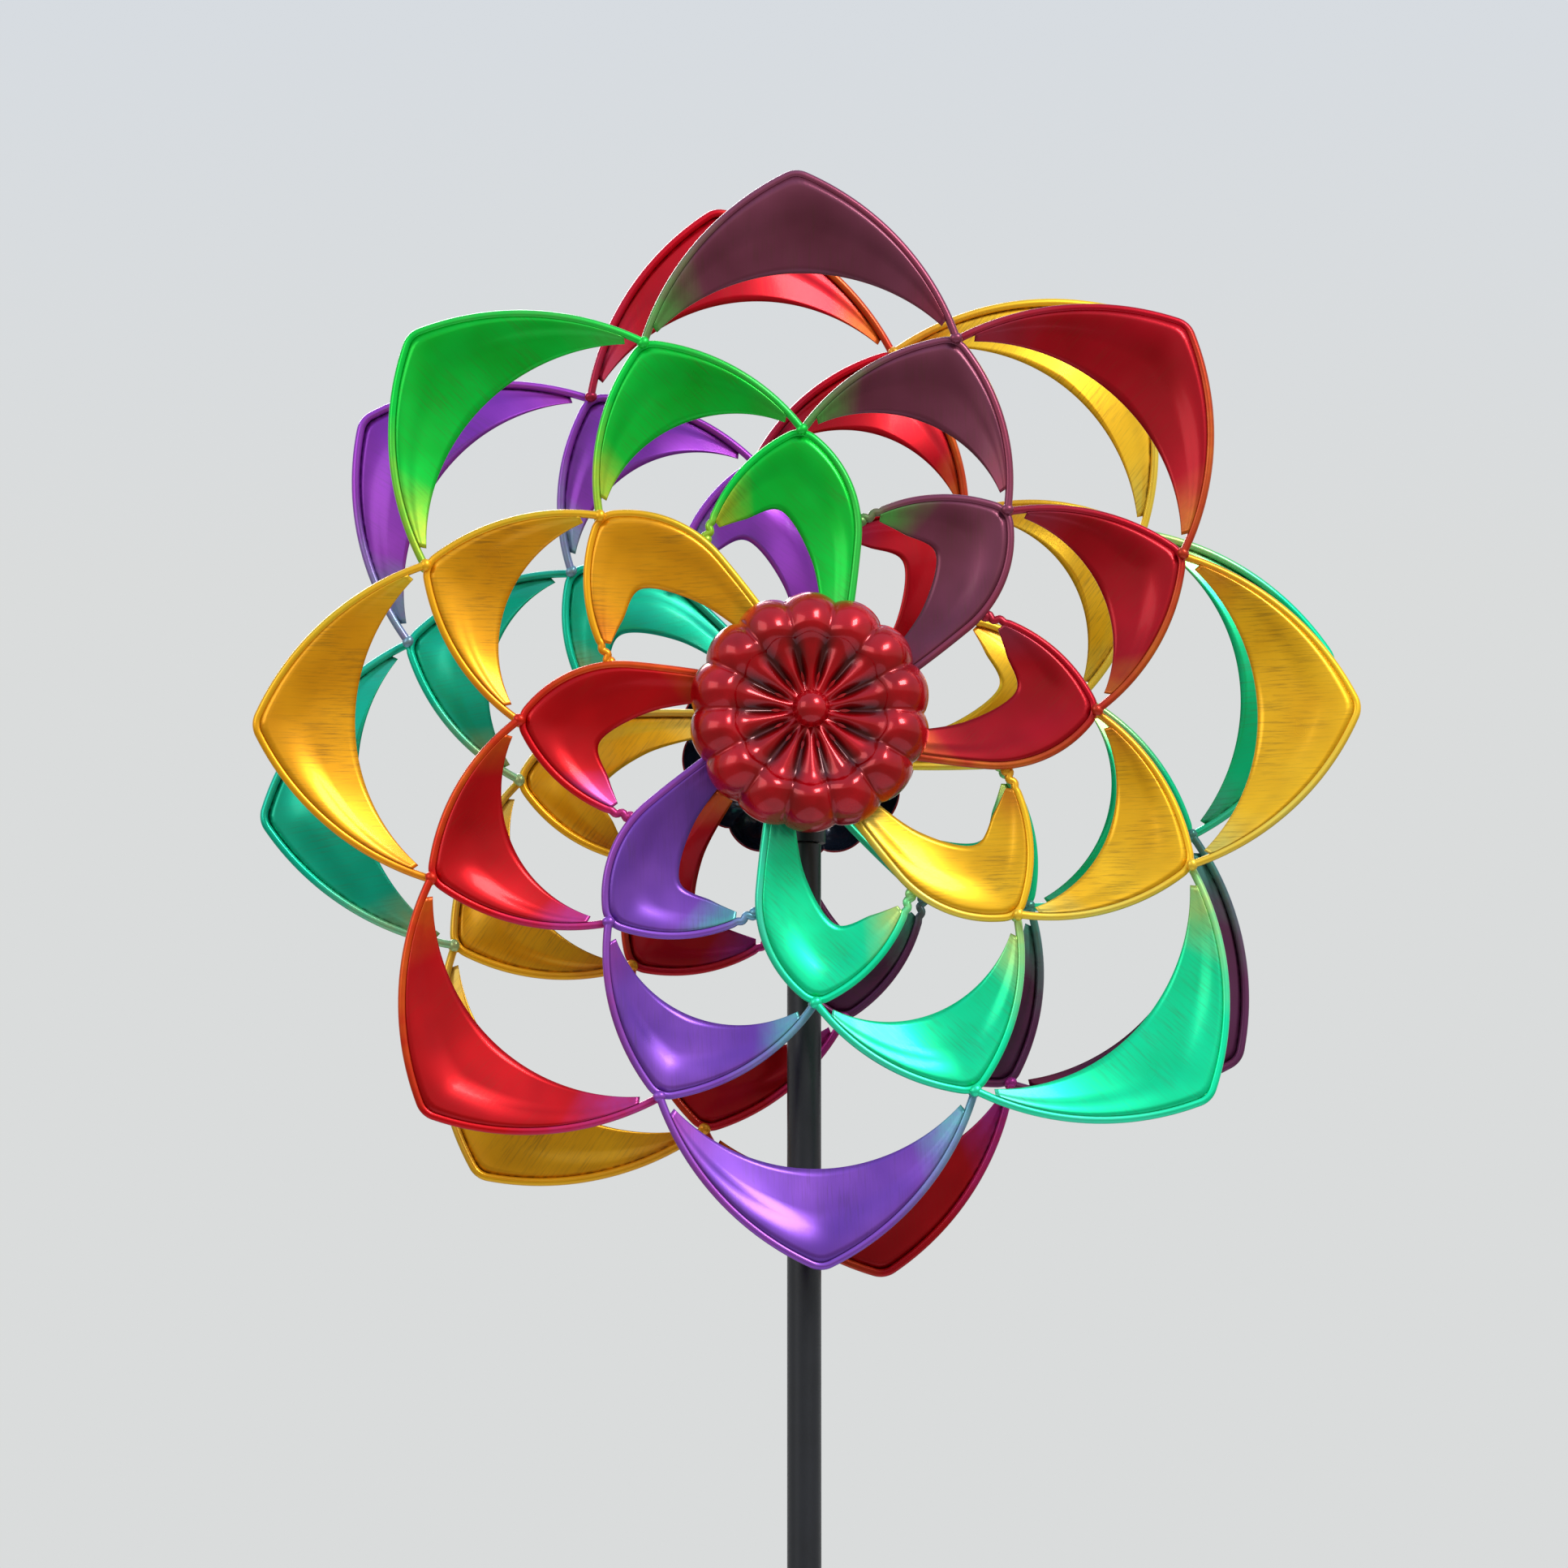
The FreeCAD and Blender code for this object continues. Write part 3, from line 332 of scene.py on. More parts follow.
def lacquer(side_name, colour, on_wire):
    """Candy lacquer for the petals or the wires of one colour of arm."""
    batch = LACQUERS[side_name]
    full, thin = batch[colour]
    order = COLOURS.index(colour)
    last = len(COLOURS) - 1
    before = batch[COLOURS[order - 1]][1][::-1 if order == 0 else 1]
    after = batch[COLOURS[order - last]][1][::-1 if order == last else 1]
    material, tree, shader = new_finish(f"{side_name}_{colour}_lacquer_on_{'wire' if on_wire else 'sheet'}")

    pattern = attribute(tree, "pattern").outputs["Vector"]
    copy = attribute(tree, "copy").outputs["Fac"]
    shift = add(tree, "ShaderNodeCombineXYZ", {"Y": copy}).outputs[0]
    flat = vector_maths(tree, "ADD", pattern, shift)

    patches = noise(tree, flat, 1 / PATCH, 2.0)
    thick = value_range(tree, patches, 0.3, 0.7, 0.75 if on_wire else 0.2, 1.0 if on_wire else 0.75)
    coat = blend_colour(tree, thick, of_arm(tree, copy, full), of_arm(tree, copy, thin))

    drift = value_range(tree, noise(tree, flat, 1 / SPRAY_GRAIN, 3.0), 0.3, 0.7, 0.45, 1.0)
    for name, neighbour, strength in (("ccw", before, 0.6), ("cw", after, 0.25)):
        sprayed = maths(tree, "MULTIPLY", attribute(tree, name).outputs["Fac"], drift)
        share = maths(tree, "MULTIPLY", sprayed, strength)
        coat = blend_colour(tree, share, coat, of_arm(tree, copy, neighbour))

    if not on_wire:
        stroke = (1 / STROKE_WIDTH, 1 / STROKE_LENGTH, 1 / STROKE_LENGTH)
        stretched = vector_maths(tree, "MULTIPLY", flat, stroke)
        strokes = value_range(tree, noise(tree, stretched, 1.0, 4.0, 0.7), 0.48, 0.7)
        where = value_range(tree, noise(tree, flat, 1 / BRUSHED_AREA, 2.0), 0.38, 0.62, 0.25, 1.0)
        brushed = maths(tree, "MULTIPLY", maths(tree, "MULTIPLY", strokes, where), STREAKS[colour])
        coat = blend_colour(tree, brushed, coat, linear(STROKE_COLOUR))

        rim = attribute(tree, "rim").outputs["Fac"]
        corner = value_range(tree, rim, 0.2 * MM, 2.4 * MM, 1.0, 0.0)
        ragged = value_range(tree, noise(tree, flat, 1 / CORNER_GRAIN, 3.0), 0.35, 0.6)
        facing = value_range(tree, attribute(tree, "back").outputs["Fac"], 0.0, 1.0, 0.06, 0.9)
        left_black = maths(tree, "MULTIPLY", maths(tree, "MULTIPLY", corner, ragged), facing)
        coat = blend_colour(tree, left_black, coat, linear(CORNER_COLOUR))
        fine = noise(tree, stretched, 2.0, 2.0)
        bump = add(tree, "ShaderNodeBump", {"Strength": 0.12, "Distance": 0.1 * MM, "Height": fine})
        tree.links.new(bump.outputs[0], shader.inputs["Normal"])

    tree.links.new(coat, shader.inputs["Base Color"])
    tree.links.new(value_range(tree, patches, 0.3, 0.7, 0.26, 0.38), shader.inputs["Roughness"])
    shader.inputs["Metallic"].default_value = METALLIC_LACQUER
    shader.inputs["Specular IOR Level"].default_value = 0.25
    shader.inputs["Coat Weight"].default_value = 0.14
    shader.inputs["Coat Roughness"].default_value = 0.12
    return material


SHEET_LACQUER, WIRE_LACQUER = (
    {(side[0], colour): lacquer(side[0], colour, on_wire) for side in SIDES for colour in COLOURS}
    for on_wire in (False, True)
)
print("lacquers:", ", ".join(sorted(m.name for m in SHEET_LACQUER.values())))

# %% [markdown]
# ## Other finishes
#
# The caps are stamped steel in glossy red enamel, with dark stoving enamel inside. The pole, its spindle, the
# tee and the hubs have satin black powder coat, whose fine orange peel shows as a soft, broken highlight.
# Fasteners are zinc-plated, bearings are ground steel, and the swivel's bush is oil-filled bronze.

# %% Enamel, powder coat and plated metals


def enamel():
    """Glossy red with painted shade in the creases; blue-black on the faces that look back at the pole."""
    material, tree, shader = new_finish("red_stoving_enamel")
    place = add(tree, "ShaderNodeTexCoord")
    pools = noise(tree, place.outputs["Object"], 1 / (18 * MM), 2.0)
    red = blend_colour(tree, value_range(tree, pools, 0.3, 0.7), linear("#980005"), linear("#c20012"))
    # Painted shade: the red darkens towards a deep red-black along the creases, most towards the middle.
    crease = attribute(tree, "crease").outputs["Fac"]
    red = blend_colour(tree, value_range(tree, crease, 0.15, 0.75, 0.0, 0.9), red, linear("#340503"))
    inside = attribute(tree, "inside").outputs["Fac"]
    tree.links.new(blend_colour(tree, inside, red, linear("#1b2434")), shader.inputs["Base Color"])
    dimples = noise(tree, place.outputs["Object"], 1 / (4 * MM), 2.0)
    bump = add(tree, "ShaderNodeBump", {"Strength": 0.08, "Distance": 0.2 * MM, "Height": dimples})
    tree.links.new(bump.outputs[0], shader.inputs["Normal"])
    tree.links.new(value_range(tree, pools, 0.3, 0.7, 0.2, 0.3), shader.inputs["Roughness"])
    shader.inputs["Metallic"].default_value = 0.4
    shader.inputs["Specular IOR Level"].default_value = 0.3
    shader.inputs["Coat Weight"].default_value = 0.4
    shader.inputs["Coat Roughness"].default_value = 0.08
    return material


def metal(name, low, high, metallic, rough_low, rough_high, grain, depth):
    """A plain finish whose colour and roughness wander over a grain of the given real size."""
    material, tree, shader = new_finish(name)
    place = add(tree, "ShaderNodeTexCoord").outputs["Object"]
    cloud = noise(tree, place, 1 / (12 * grain), 3.0)
    colour = blend_colour(tree, value_range(tree, cloud, 0.3, 0.7), linear(low), linear(high))
    tree.links.new(colour, shader.inputs["Base Color"])
    peel = noise(tree, place, 1 / grain, 2.0)
    tree.links.new(value_range(tree, peel, 0.3, 0.7, rough_low, rough_high), shader.inputs["Roughness"])
    bump = add(tree, "ShaderNodeBump", {"Strength": 0.3, "Distance": depth, "Height": peel})
    tree.links.new(bump.outputs[0], shader.inputs["Normal"])
    shader.inputs["Metallic"].default_value = metallic
    return material


RED_ENAMEL = enamel()
POWDER_COAT = metal("satin_black_powder_coat", "#0b0c10", "#131419", 0.0, 0.34, 0.46, 1.2 * MM, 0.05 * MM)
ZINC = metal("zinc_plated_steel", "#9a9ca0", "#b9bcc0", 1.0, 0.25, 0.4, 0.8 * MM, 0.02 * MM)
BEARING_STEEL = metal("ground_bearing_steel", "#a3a6aa", "#c2c5c8", 1.0, 0.12, 0.22, 0.5 * MM, 0.01 * MM)
BRONZE = metal("oil_filled_bronze", "#8a6a35", "#b08c4c", 1.0, 0.35, 0.5, 0.6 * MM, 0.03 * MM)

CAD_FINISH = {
    "black_paint": POWDER_COAT,
    "zinc_steel": ZINC,
    "bearing_steel": BEARING_STEEL,
    "bearing_bronze": BRONZE,
    "red_enamel": RED_ENAMEL,
}
for part in frame["record"]["subparts"]:
    finish = POWDER_COAT if part["node"] == "swivel_spindle" else CAD_FINISH.get(part["material_slot"])
    if finish:
        cad = nodes[part["node"]].data
        cad.materials.clear()
        cad.materials.append(finish)
print("finished", len(CAD_FINISH), "plain slots")

# %% [markdown]
# ## The line of an arch
#
# Each arch is two bowed sides that meet in a rounded tip, as a wire comes off a bending jig. The sides are
# arcs of circles, and the tip is a smaller circle that touches both, so the line never kinks.

# %% Arch outlines


def bowed(start, end, bow):
    """Centre and radius of the arc that stands bow clear of its chord, on the chord's left."""
    chord = end - start
    half = chord.length / 2
    radius = (half * half + bow * bow) / (2 * bow)
    left = Vector((-chord.y, chord.x)).normalized()
    return (start + end) / 2 + left * (bow - radius), radius


def swing(centre, start, end, count):
    """Points along the short arc about centre from start to end."""
    from_ray, to_ray = start - centre, end - centre
    first = math.atan2(from_ray.y, from_ray.x)
    turn = math.atan2(from_ray.x * to_ray.y - from_ray.y * to_ray.x, from_ray.dot(to_ray))
    radius = from_ray.length
    return [
        centre + radius * Vector((math.cos(first + turn * i / count), math.sin(first + turn * i / count)))
        for i in range(count + 1)
    ]


def on_ray(centre, towards, radius):
    return centre + (towards - centre).normalized() * radius


SIDE_STEPS, TIP_STEPS, STEM_STEPS = 26, 8, 14


def arch_line(ring, inset=0.0):
    """Points of an arch from its left end, round the tip, to its right end or on to its screw eye."""
    left_centre, left_radius = bowed(ring.left, ring.tip, ring.bow)
    right_centre, right_radius = bowed(ring.tip, ring.right, ring.bow)
    reach = (left_radius - TIP_BEND, right_radius - TIP_BEND)
    gap = right_centre - left_centre
    across = (reach[0] ** 2 - reach[1] ** 2 + gap.length_squared) / (2 * gap.length)
    direction = gap.normalized()
    normal = Vector((-direction.y, direction.x))
    normal = normal if normal.y > 0 else -normal
    corner = left_centre + direction * across + normal * math.sqrt(reach[0] ** 2 - across ** 2)
    left_radius -= inset
    right_radius -= inset
    touch_left = on_ray(left_centre, corner, left_radius)
    touch_right = on_ray(right_centre, corner, right_radius)
    points = swing(left_centre, on_ray(left_centre, ring.left, left_radius), touch_left, SIDE_STEPS)
    points += swing(corner, touch_left, touch_right, TIP_STEPS)[1:]
    knee = on_ray(right_centre, ring.right, right_radius)
    points += swing(right_centre, touch_right, knee, SIDE_STEPS)[1:]
    if ring.eye:
        heading = Vector((right_centre.y - knee.y, knee.x - right_centre.x)).normalized()
        heading = heading if heading.dot(points[-1] - points[-2]) > 0 else -heading
        stem = (ring.eye - ring.right).normalized()
        end = ring.eye + Vector((stem.y, -stem.x)) * inset
        side = Vector((-heading.y, heading.x))
        chord = end - knee
        bend = chord.length_squared / (2 * chord.dot(side))
        points += swing(knee + side * bend, knee, end, STEM_STEPS)[1:]
    return points


def ring_length(points):
    return sum((b - a).length for a, b in zip(points, points[1:]))


print({name: round(ring_length(arch_line(ring)) * 1000) for name, ring in RINGS.items()}, "mm of wire")

# %% [markdown]
# ## Bent wires
#
# The three arches of an arm are 4.5 mm wire, welded tip to end, with a loop round the hub screw. A wire is a
# path with a round section, so Geometry Nodes sweep it, drop a weld bead on each flagged point, and turn the
# finished arm round the axle for the second arm of the same colour.

# %% Wire tree


def turned(tree, shape, first, step, count, pivot):
    """Copies of a shape turned about the axle; each copy carries its number."""
    spots = add(tree, "GeometryNodePoints", {"Count": count})
    index = add(tree, "GeometryNodeInputIndex").outputs[0]
    spots = store(tree, spots.outputs[0], "copy", index)
    angle = maths(tree, "MULTIPLY_ADD", index, step, first)
    rotation = add(tree, "FunctionNodeAxisAngleToRotation", {"Axis": (0.0, 1.0, 0.0), "Angle": angle})
    placed = add(tree, "GeometryNodeInstanceOnPoints", {"Points": spots, "Instance": shape})
    links = {"Instances": placed.outputs[0], "Rotation": rotation.outputs[0], "Pivot Point": pivot}
    return add(tree, "GeometryNodeRotateInstances", {**links, "Local Space": False}).outputs[0]


TURN_SOCKETS = {
    "First": "NodeSocketFloat",
    "Step": "NodeSocketFloat",
    "Count": "NodeSocketInt",
    "Pivot": "NodeSocketVector",
}
BEAD_SHAPE = (1.15, 0.9, 1.0)
wire_tree, given, WIRE_KEYS = shape_tree(
    "bent_wire", Radius="NodeSocketFloat", Bead="NodeSocketFloat", Sides="NodeSocketInt",
    Finish="NodeSocketMaterial", **TURN_SOCKETS
)
paths = add(wire_tree, "GeometryNodeMeshToCurve", {"Mesh": given.outputs["Shape"]})
section = add(wire_tree, "GeometryNodeCurvePrimitiveCircle",
              {"Resolution": given.outputs["Sides"], "Radius": given.outputs["Radius"]})
swept = add(wire_tree, "GeometryNodeCurveToMesh",
            {"Curve": paths.outputs[0], "Profile Curve": section.outputs[0], "Fill Caps": True})
ball = add(wire_tree, "GeometryNodeMeshIcoSphere", {"Radius": given.outputs["Bead"], "Subdivisions": 3})
flag = add(wire_tree, "GeometryNodeInputNamedAttribute", {"Name": "bead"}, data_type="FLOAT")
is_bead = add(wire_tree, "FunctionNodeCompare", {0: flag.outputs[0], 1: 0.5}, operation="GREATER_THAN")
beads = add(wire_tree, "GeometryNodeInstanceOnPoints",
            {"Points": given.outputs["Shape"], "Selection": is_bead.outputs[0], "Instance": ball.outputs[0],
             "Scale": BEAD_SHAPE})
arm = add(wire_tree, "GeometryNodeJoinGeometry", {"Geometry": swept.outputs[0]})
wire_tree.links.new(beads.outputs[0], arm.inputs["Geometry"])
both = turned(wire_tree, arm.outputs[0], *(given.outputs[key] for key in TURN_SOCKETS))
finish_tree(wire_tree, both, given.outputs["Finish"])
print("wire tree has", len(wire_tree.nodes), "nodes")

# %% [markdown]
# ## Arms
#
# The end of each inner arch is crimped in two small waves before it is welded to the next arm. Spray from the
# two neighbouring arms drifts onto the wires, so each point also carries how much of it it caught.

# %% Arms of both wheels
CRIMP_LENGTH, CRIMP_WAVE, CRIMP_SIZE = 15 * MM, 7 * MM, 1.7 * MM
SPRAY_REACH = 0.3
LOOP_RADIUS = 4.6 * MM
LOOP_STEPS = 24
CRIMP_SPACING = 0.8 * MM
SPRAYED_PLACE = 0.8
BEAD_RADIUS = 3.1 * MM


def crimped(points):
    """Wave the first few millimetres of a line from side to side."""
    row, gone = [], 0.0
    for here, after in zip(points, points[1:] + points[-1:]):
        along = (after - here).normalized() if after != here else Vector((0.0, 0.0))
        fade = max(0.0, 1.0 - gone / CRIMP_LENGTH)
        sway = CRIMP_SIZE * fade * math.sin(2 * math.pi * gone / CRIMP_WAVE)
        row.append(here + Vector((-along.y, along.x)) * sway)
        gone += (after - here).length
    return row


def divided(points, spacing):
    """Put extra points on the first few centimetres of a line, so that it can be bent finely."""
    row, gone = [], 0.0
    for here, after in zip(points, points[1:]):
        length = (after - here).length
        parts = max(1, round(length / spacing)) if gone < CRIMP_LENGTH else 1
        row += [here.lerp(after, i / parts) for i in range(parts)]
        gone += length
    return row + points[-1:]


def arm_lines(side):
    """The wires of one arm, as strips of points, with their beads and their two drifts of spray."""
    strips, bead, ccw, cw = [], [], [], []
    for name, ring in RINGS.items():
        line = arch_line(ring)
        if name == "inner":
            line = crimped(divided(line, CRIMP_SPACING))
        strips.append(([in_frame(ring.in_wheel(point), side) for point in line], False))
        last = len(line) - 1
        welded = (0,) if name == "inner" else (0, last)
        bead += [1.0 if i in welded else 0.0 for i in range(len(line))]
        ccw += [max(0.0, 1 - i / last / SPRAY_REACH) for i in range(len(line))]
        cw += [max(0.0, 1 - abs(i / last - SPRAYED_PLACE) / SPRAY_REACH) for i in range(len(line))]
    inner = RINGS["inner"]
    lean_off = inner.eye.x * math.sin(inner.lean)
    turns = [2 * math.pi * i / LOOP_STEPS for i in range(LOOP_STEPS)]
    loop = [inner.in_wheel(inner.eye + polar(LOOP_RADIUS, turn), -lean_off) for turn in turns]
    strips.append(([in_frame(point, side) for point in loop], True))
    for values in (bead, ccw, cw):
        values += [0.0] * len(loop)
    return strips, bead, ccw, cw


def in_frame(uvw, side):
    """A wheel's (u, v, w) as a point of the frame, before the wheel's own turn."""
    u, v, w = uvw
    return Vector((u, side * w, HUB_HEIGHT + v))


def first_turn(turn, colour, first_colour):
    """Angle of the first arm of a colour, in radians."""
    return math.radians(turn) + (COLOURS.index(colour) - first_colour) % len(COLOURS) * STEP


for side_name, side, turn, first_colour in SIDES:
    for colour in COLOURS:
        strips, bead, ccw, cw = arm_lines(side)
        arms = line_object(f"{side_name}_{colour}_wire_arms", strips)
        for name, values in (("bead", bead), ("ccw", ccw), ("cw", cw)):
            point_attribute(arms, name, values)
        pattern = arms.data.attributes.new("pattern", "FLOAT_VECTOR", "POINT")
        pattern.data.foreach_set("vector", [c for v in arms.data.vertices for c in (v.co.x, v.co.z, 0.0)])
        grow(arms, wire_tree, WIRE_KEYS, Radius=WIRE_RADIUS, Bead=BEAD_RADIUS, Sides=12,
             Finish=WIRE_LACQUER[side_name, colour], First=first_turn(turn, colour, first_colour),
             Step=math.pi, Count=2, Pivot=HUB)
        settle(arms)
        dress(arms, f"{side_name}_wheel", f"{colour}_lacquer",
              f"{side_name}_arm_{colour}_1", f"{side_name}_arm_{colour}_2")
print("last pair of arms:", triangles(arms), "triangles")

# %% [markdown]
# ## Petals
#
# A petal is a crescent of thin sheet, cut to fit inside its arch and dished so that the free edge is set back
# from the rim. It is a surface between two lines, so the tree reads both lines as curves, spreads a grid
# between them, pushes it back and gives it its thickness. The grid also carries where each point lies on the
# flat pattern, for the brush strokes, and how far it is from the rim, for the black left in the corner.

# %% Petal tree
sheet_tree, given, SHEET_KEYS = shape_tree(
    "dished_sheet", Slope="NodeSocketFloat", Left="NodeSocketVector", LeftRadius="NodeSocketFloat",
    Right="NodeSocketVector", RightRadius="NodeSocketFloat", Side="NodeSocketFloat",
    Thickness="NodeSocketFloat", Along="NodeSocketInt", Across="NodeSocketInt",
    Finish="NodeSocketMaterial", **TURN_SOCKETS
)
edges = add(sheet_tree, "GeometryNodeMeshToCurve", {"Mesh": given.outputs["Shape"]})
smooth = add(sheet_tree, "GeometryNodeCurveSplineType", {"Curve": edges.outputs[0]},
             spline_type="CATMULL_ROM")
grid = add(sheet_tree, "GeometryNodeMeshGrid",
           {"Size X": 1.0, "Size Y": 1.0,
            "Vertices X": given.outputs["Along"], "Vertices Y": given.outputs["Across"]})
shares = add(sheet_tree, "ShaderNodeSeparateXYZ", {0: grid.outputs["UV Map"]})
along, across = shares.outputs[0], shares.outputs[1]


def edge_point(number):
    return add(
        sheet_tree,
        "GeometryNodeSampleCurve",
        {"Curves": smooth.outputs[0], "Factor": along, "Curve Index": number},
        mode="FACTOR",
    ).outputs["Position"]


rim_point, free_point = edge_point(0), edge_point(1)
between = add(sheet_tree, "ShaderNodeMix", {0: across, 4: rim_point, 5: free_point},
              data_type="VECTOR").outputs[1]
width = vector_maths(sheet_tree, "DISTANCE", rim_point, free_point, "Value")
THINNEST = 0.01 * MM


def depth_inside(side_name):
    """How far each point lies inside the circle that one side of the arch is bent to."""
    centre = given.outputs[side_name]
    reach = vector_maths(sheet_tree, "DISTANCE", between, centre, "Value")
    inside = maths(sheet_tree, "SUBTRACT", given.outputs[side_name + "Radius"], reach)
    return maths(sheet_tree, "MAXIMUM", inside, THINNEST)


from_left, from_right = depth_inside("Left"), depth_inside("Right")
blended = maths(sheet_tree, "DIVIDE", maths(sheet_tree, "MULTIPLY", from_left, from_right),
                maths(sheet_tree, "ADD", from_left, from_right))
held = value_range(sheet_tree, across, 0.0, 0.45)
drop = maths(sheet_tree, "MULTIPLY", maths(sheet_tree, "MULTIPLY", blended, held), given.outputs["Slope"])
back = maths(sheet_tree, "MULTIPLY", drop, maths(sheet_tree, "MULTIPLY", given.outputs["Side"], -1.0))
push = add(sheet_tree, "ShaderNodeCombineXYZ", {"Y": back}).outputs[0]
surface = add(sheet_tree, "GeometryNodeSetPosition",
              {"Geometry": grid.outputs[0], "Position": between, "Offset": push}).outputs[0]
parts_xyz = add(sheet_tree, "ShaderNodeSeparateXYZ", {0: between})
flat_place = add(sheet_tree, "ShaderNodeCombineXYZ", {"X": parts_xyz.outputs[0], "Y": parts_xyz.outputs[2]})
for name, kind, value in (
    ("pattern", "FLOAT_VECTOR", flat_place.outputs[0]),
    ("rim", "FLOAT", maths(sheet_tree, "MULTIPLY", width, across)),
    ("ccw", "FLOAT", value_range(sheet_tree, along, 0.0, 0.2, 1.0, 0.0)),
    ("cw", "FLOAT", value_range(sheet_tree, along, 0.82, 1.0, 0.0, 1.0)),
):
    surface = store(sheet_tree, surface, name, value, kind)
rise = maths(sheet_tree, "MULTIPLY", given.outputs["Thickness"], given.outputs["Side"])
lift = add(sheet_tree, "ShaderNodeCombineXYZ", {"Y": rise}).outputs[0]
surface = store(sheet_tree, surface, "back", 1.0)
raised = add(sheet_tree, "GeometryNodeExtrudeMesh",
             {"Mesh": surface, "Offset": lift, "Offset Scale": 1.0, "Individual": False})
front = add(sheet_tree, "GeometryNodeStoreNamedAttribute",
            {"Geometry": raised.outputs[0], "Selection": raised.outputs["Top"], "Name": "back", "Value": 0.0},
            data_type="FLOAT", domain="POINT").outputs[0]
closed = add(sheet_tree, "GeometryNodeJoinGeometry", {"Geometry": front})
sheet_tree.links.new(surface, closed.inputs["Geometry"])
sealed = add(sheet_tree, "GeometryNodeMergeByDistance",
             {"Geometry": closed.outputs[0], "Distance": THINNEST})
both = turned(sheet_tree, sealed.outputs[0], *(given.outputs[key] for key in TURN_SOCKETS))
finish_tree(sheet_tree, both, given.outputs["Finish"])
print("petal tree has", len(sheet_tree.nodes), "nodes")

# %% [markdown]
# The sheets stop a little short of the joints, where they are cut nearly square. The inner petals run on
# towards the hub as a broad strip beside the wire.

# %% Petals of both wheels
END_GAP = 11 * MM
END_CUT = Vector((2.2, -2.9)) * MM
INNER_FOOT = 50 * MM
INNER_FOOT_WIDTH = 11 * MM
INNER_EDGE = ((-32.8, 111.0), (-12.0, 115.5), (4.1, 87.3))
ALONG_POINTS, ACROSS_POINTS = 72, 12


def trimmed(points, from_start, from_end):
    """A line of points with a length cut off each end."""
    def cut(row, length):
        row = list(row)
        while length > 0:
            step = (row[1] - row[0]).length
            if step > length:
                row[0] = row[0].lerp(row[1], length / step)
                return row
            length -= step
            row.pop(0)
        return row
    points = cut(points, from_start)
    return cut(points[::-1], from_end)[::-1]


def free_edge(ring, start, end):
    """Control points of a petal's free edge."""
    if ring.eye:
        return [start] + [Vector(point) * MM for point in INNER_EDGE] + [end]
    top = Vector((0.0, ring.tip.y - ring.petal_width))
    centre = circle_through(start, top, end)
    return swing(centre, start, top, 12) + swing(centre, top, end, 12)[1:]


def circle_through(a, b, c):
    """Centre of the circle through three points."""
    ab, ac = b - a, c - a
    cross = 2 * (ab.x * ac.y - ab.y * ac.x)
    return a + Vector((ac.y * ab.length_squared - ab.y * ac.length_squared,
                       ab.x * ac.length_squared - ac.x * ab.length_squared)) / cross


def side_circles(ring):
    """The circles that the two sides of an arch follow; an inner arch's right side runs on to its stem."""
    if not ring.eye:
        return bowed(ring.left, ring.tip, ring.bow), bowed(ring.tip, ring.right, ring.bow)
    foot = ring.eye.lerp(ring.right, 0.4)
    centre = circle_through(ring.tip, ring.right, foot)
    return bowed(ring.left, ring.tip, ring.bow), (centre, (ring.tip - centre).length)


def petal_lines(ring):
    """The rim line and the free-edge line of one petal, flat."""
    rim = arch_line(ring, RIM_INSET)
    if ring.eye:
        stem = rim[-STEM_STEPS - 1:]
        rim = trimmed(rim, END_GAP, ring_length(stem) - (stem[0].y - INNER_FOOT))
    else:
        rim = trimmed(rim, END_GAP, END_GAP)
    cut_off = Vector((-INNER_FOOT_WIDTH, 0.0)) if ring.eye else Vector((-END_CUT.x, END_CUT.y))
    return rim, free_edge(ring, rim[0] + END_CUT, rim[-1] + cut_off)


def joined(name, pieces):
    """One object out of several meshes."""
    work = bmesh.new()
    for piece in pieces:
        work.from_mesh(piece.data)
    mesh = pieces[0].data.copy()
    work.to_mesh(mesh)
    work.free()
    for piece in pieces:
        bpy.data.objects.remove(piece)
    obj = bpy.data.objects.new(name, mesh)
    bpy.context.scene.collection.objects.link(obj)
    return obj


for side_name, side, turn, first_colour in SIDES:
    for colour in COLOURS:
        pieces = []
        for ring_name, ring in RINGS.items():
            rim, free = petal_lines(ring)
            strips = [
                ([in_frame(ring.in_wheel(point, SHEET_LIFT), side) for point in row], False)
                for row in (rim, free)
            ]
            petal = line_object(f"{side_name}_{colour}_{ring_name}", strips)
            (left, left_radius), (right, right_radius) = side_circles(ring)
            left, right = (in_frame(ring.in_wheel(centre, SHEET_LIFT), side) for centre in (left, right))
            grow(petal, sheet_tree, SHEET_KEYS, Slope=ring.slope,
                 Left=left, LeftRadius=left_radius - RIM_INSET,
                 Right=right, RightRadius=right_radius - RIM_INSET,
                 Side=float(side), Thickness=SHEET, Along=ALONG_POINTS, Across=ACROSS_POINTS,
                 Finish=SHEET_LACQUER[side_name, colour],
                 First=first_turn(turn, colour, first_colour), Step=math.pi, Count=2, Pivot=HUB)
            pieces.append(settle(petal))
        petals = joined(f"{side_name}_{colour}_petals", pieces)
        dress(petals, f"{side_name}_wheel", f"{colour}_lacquer",
              f"{side_name}_petals_{colour}_1", f"{side_name}_petals_{colour}_2")
print("last set of petals:", triangles(petals), "triangles")

# %% [markdown]
# ## Fluted flower caps
#
# Each hub wears a stamped cap like a ring cake, with fourteen puffed lobes that meet in sharp creases, and a
# smaller fluted dish inside it. Both follow one rule: spin a section about the axle, and sink it between the
# lobes. The tree reads the section point by point, so its corners stay where they are drawn.

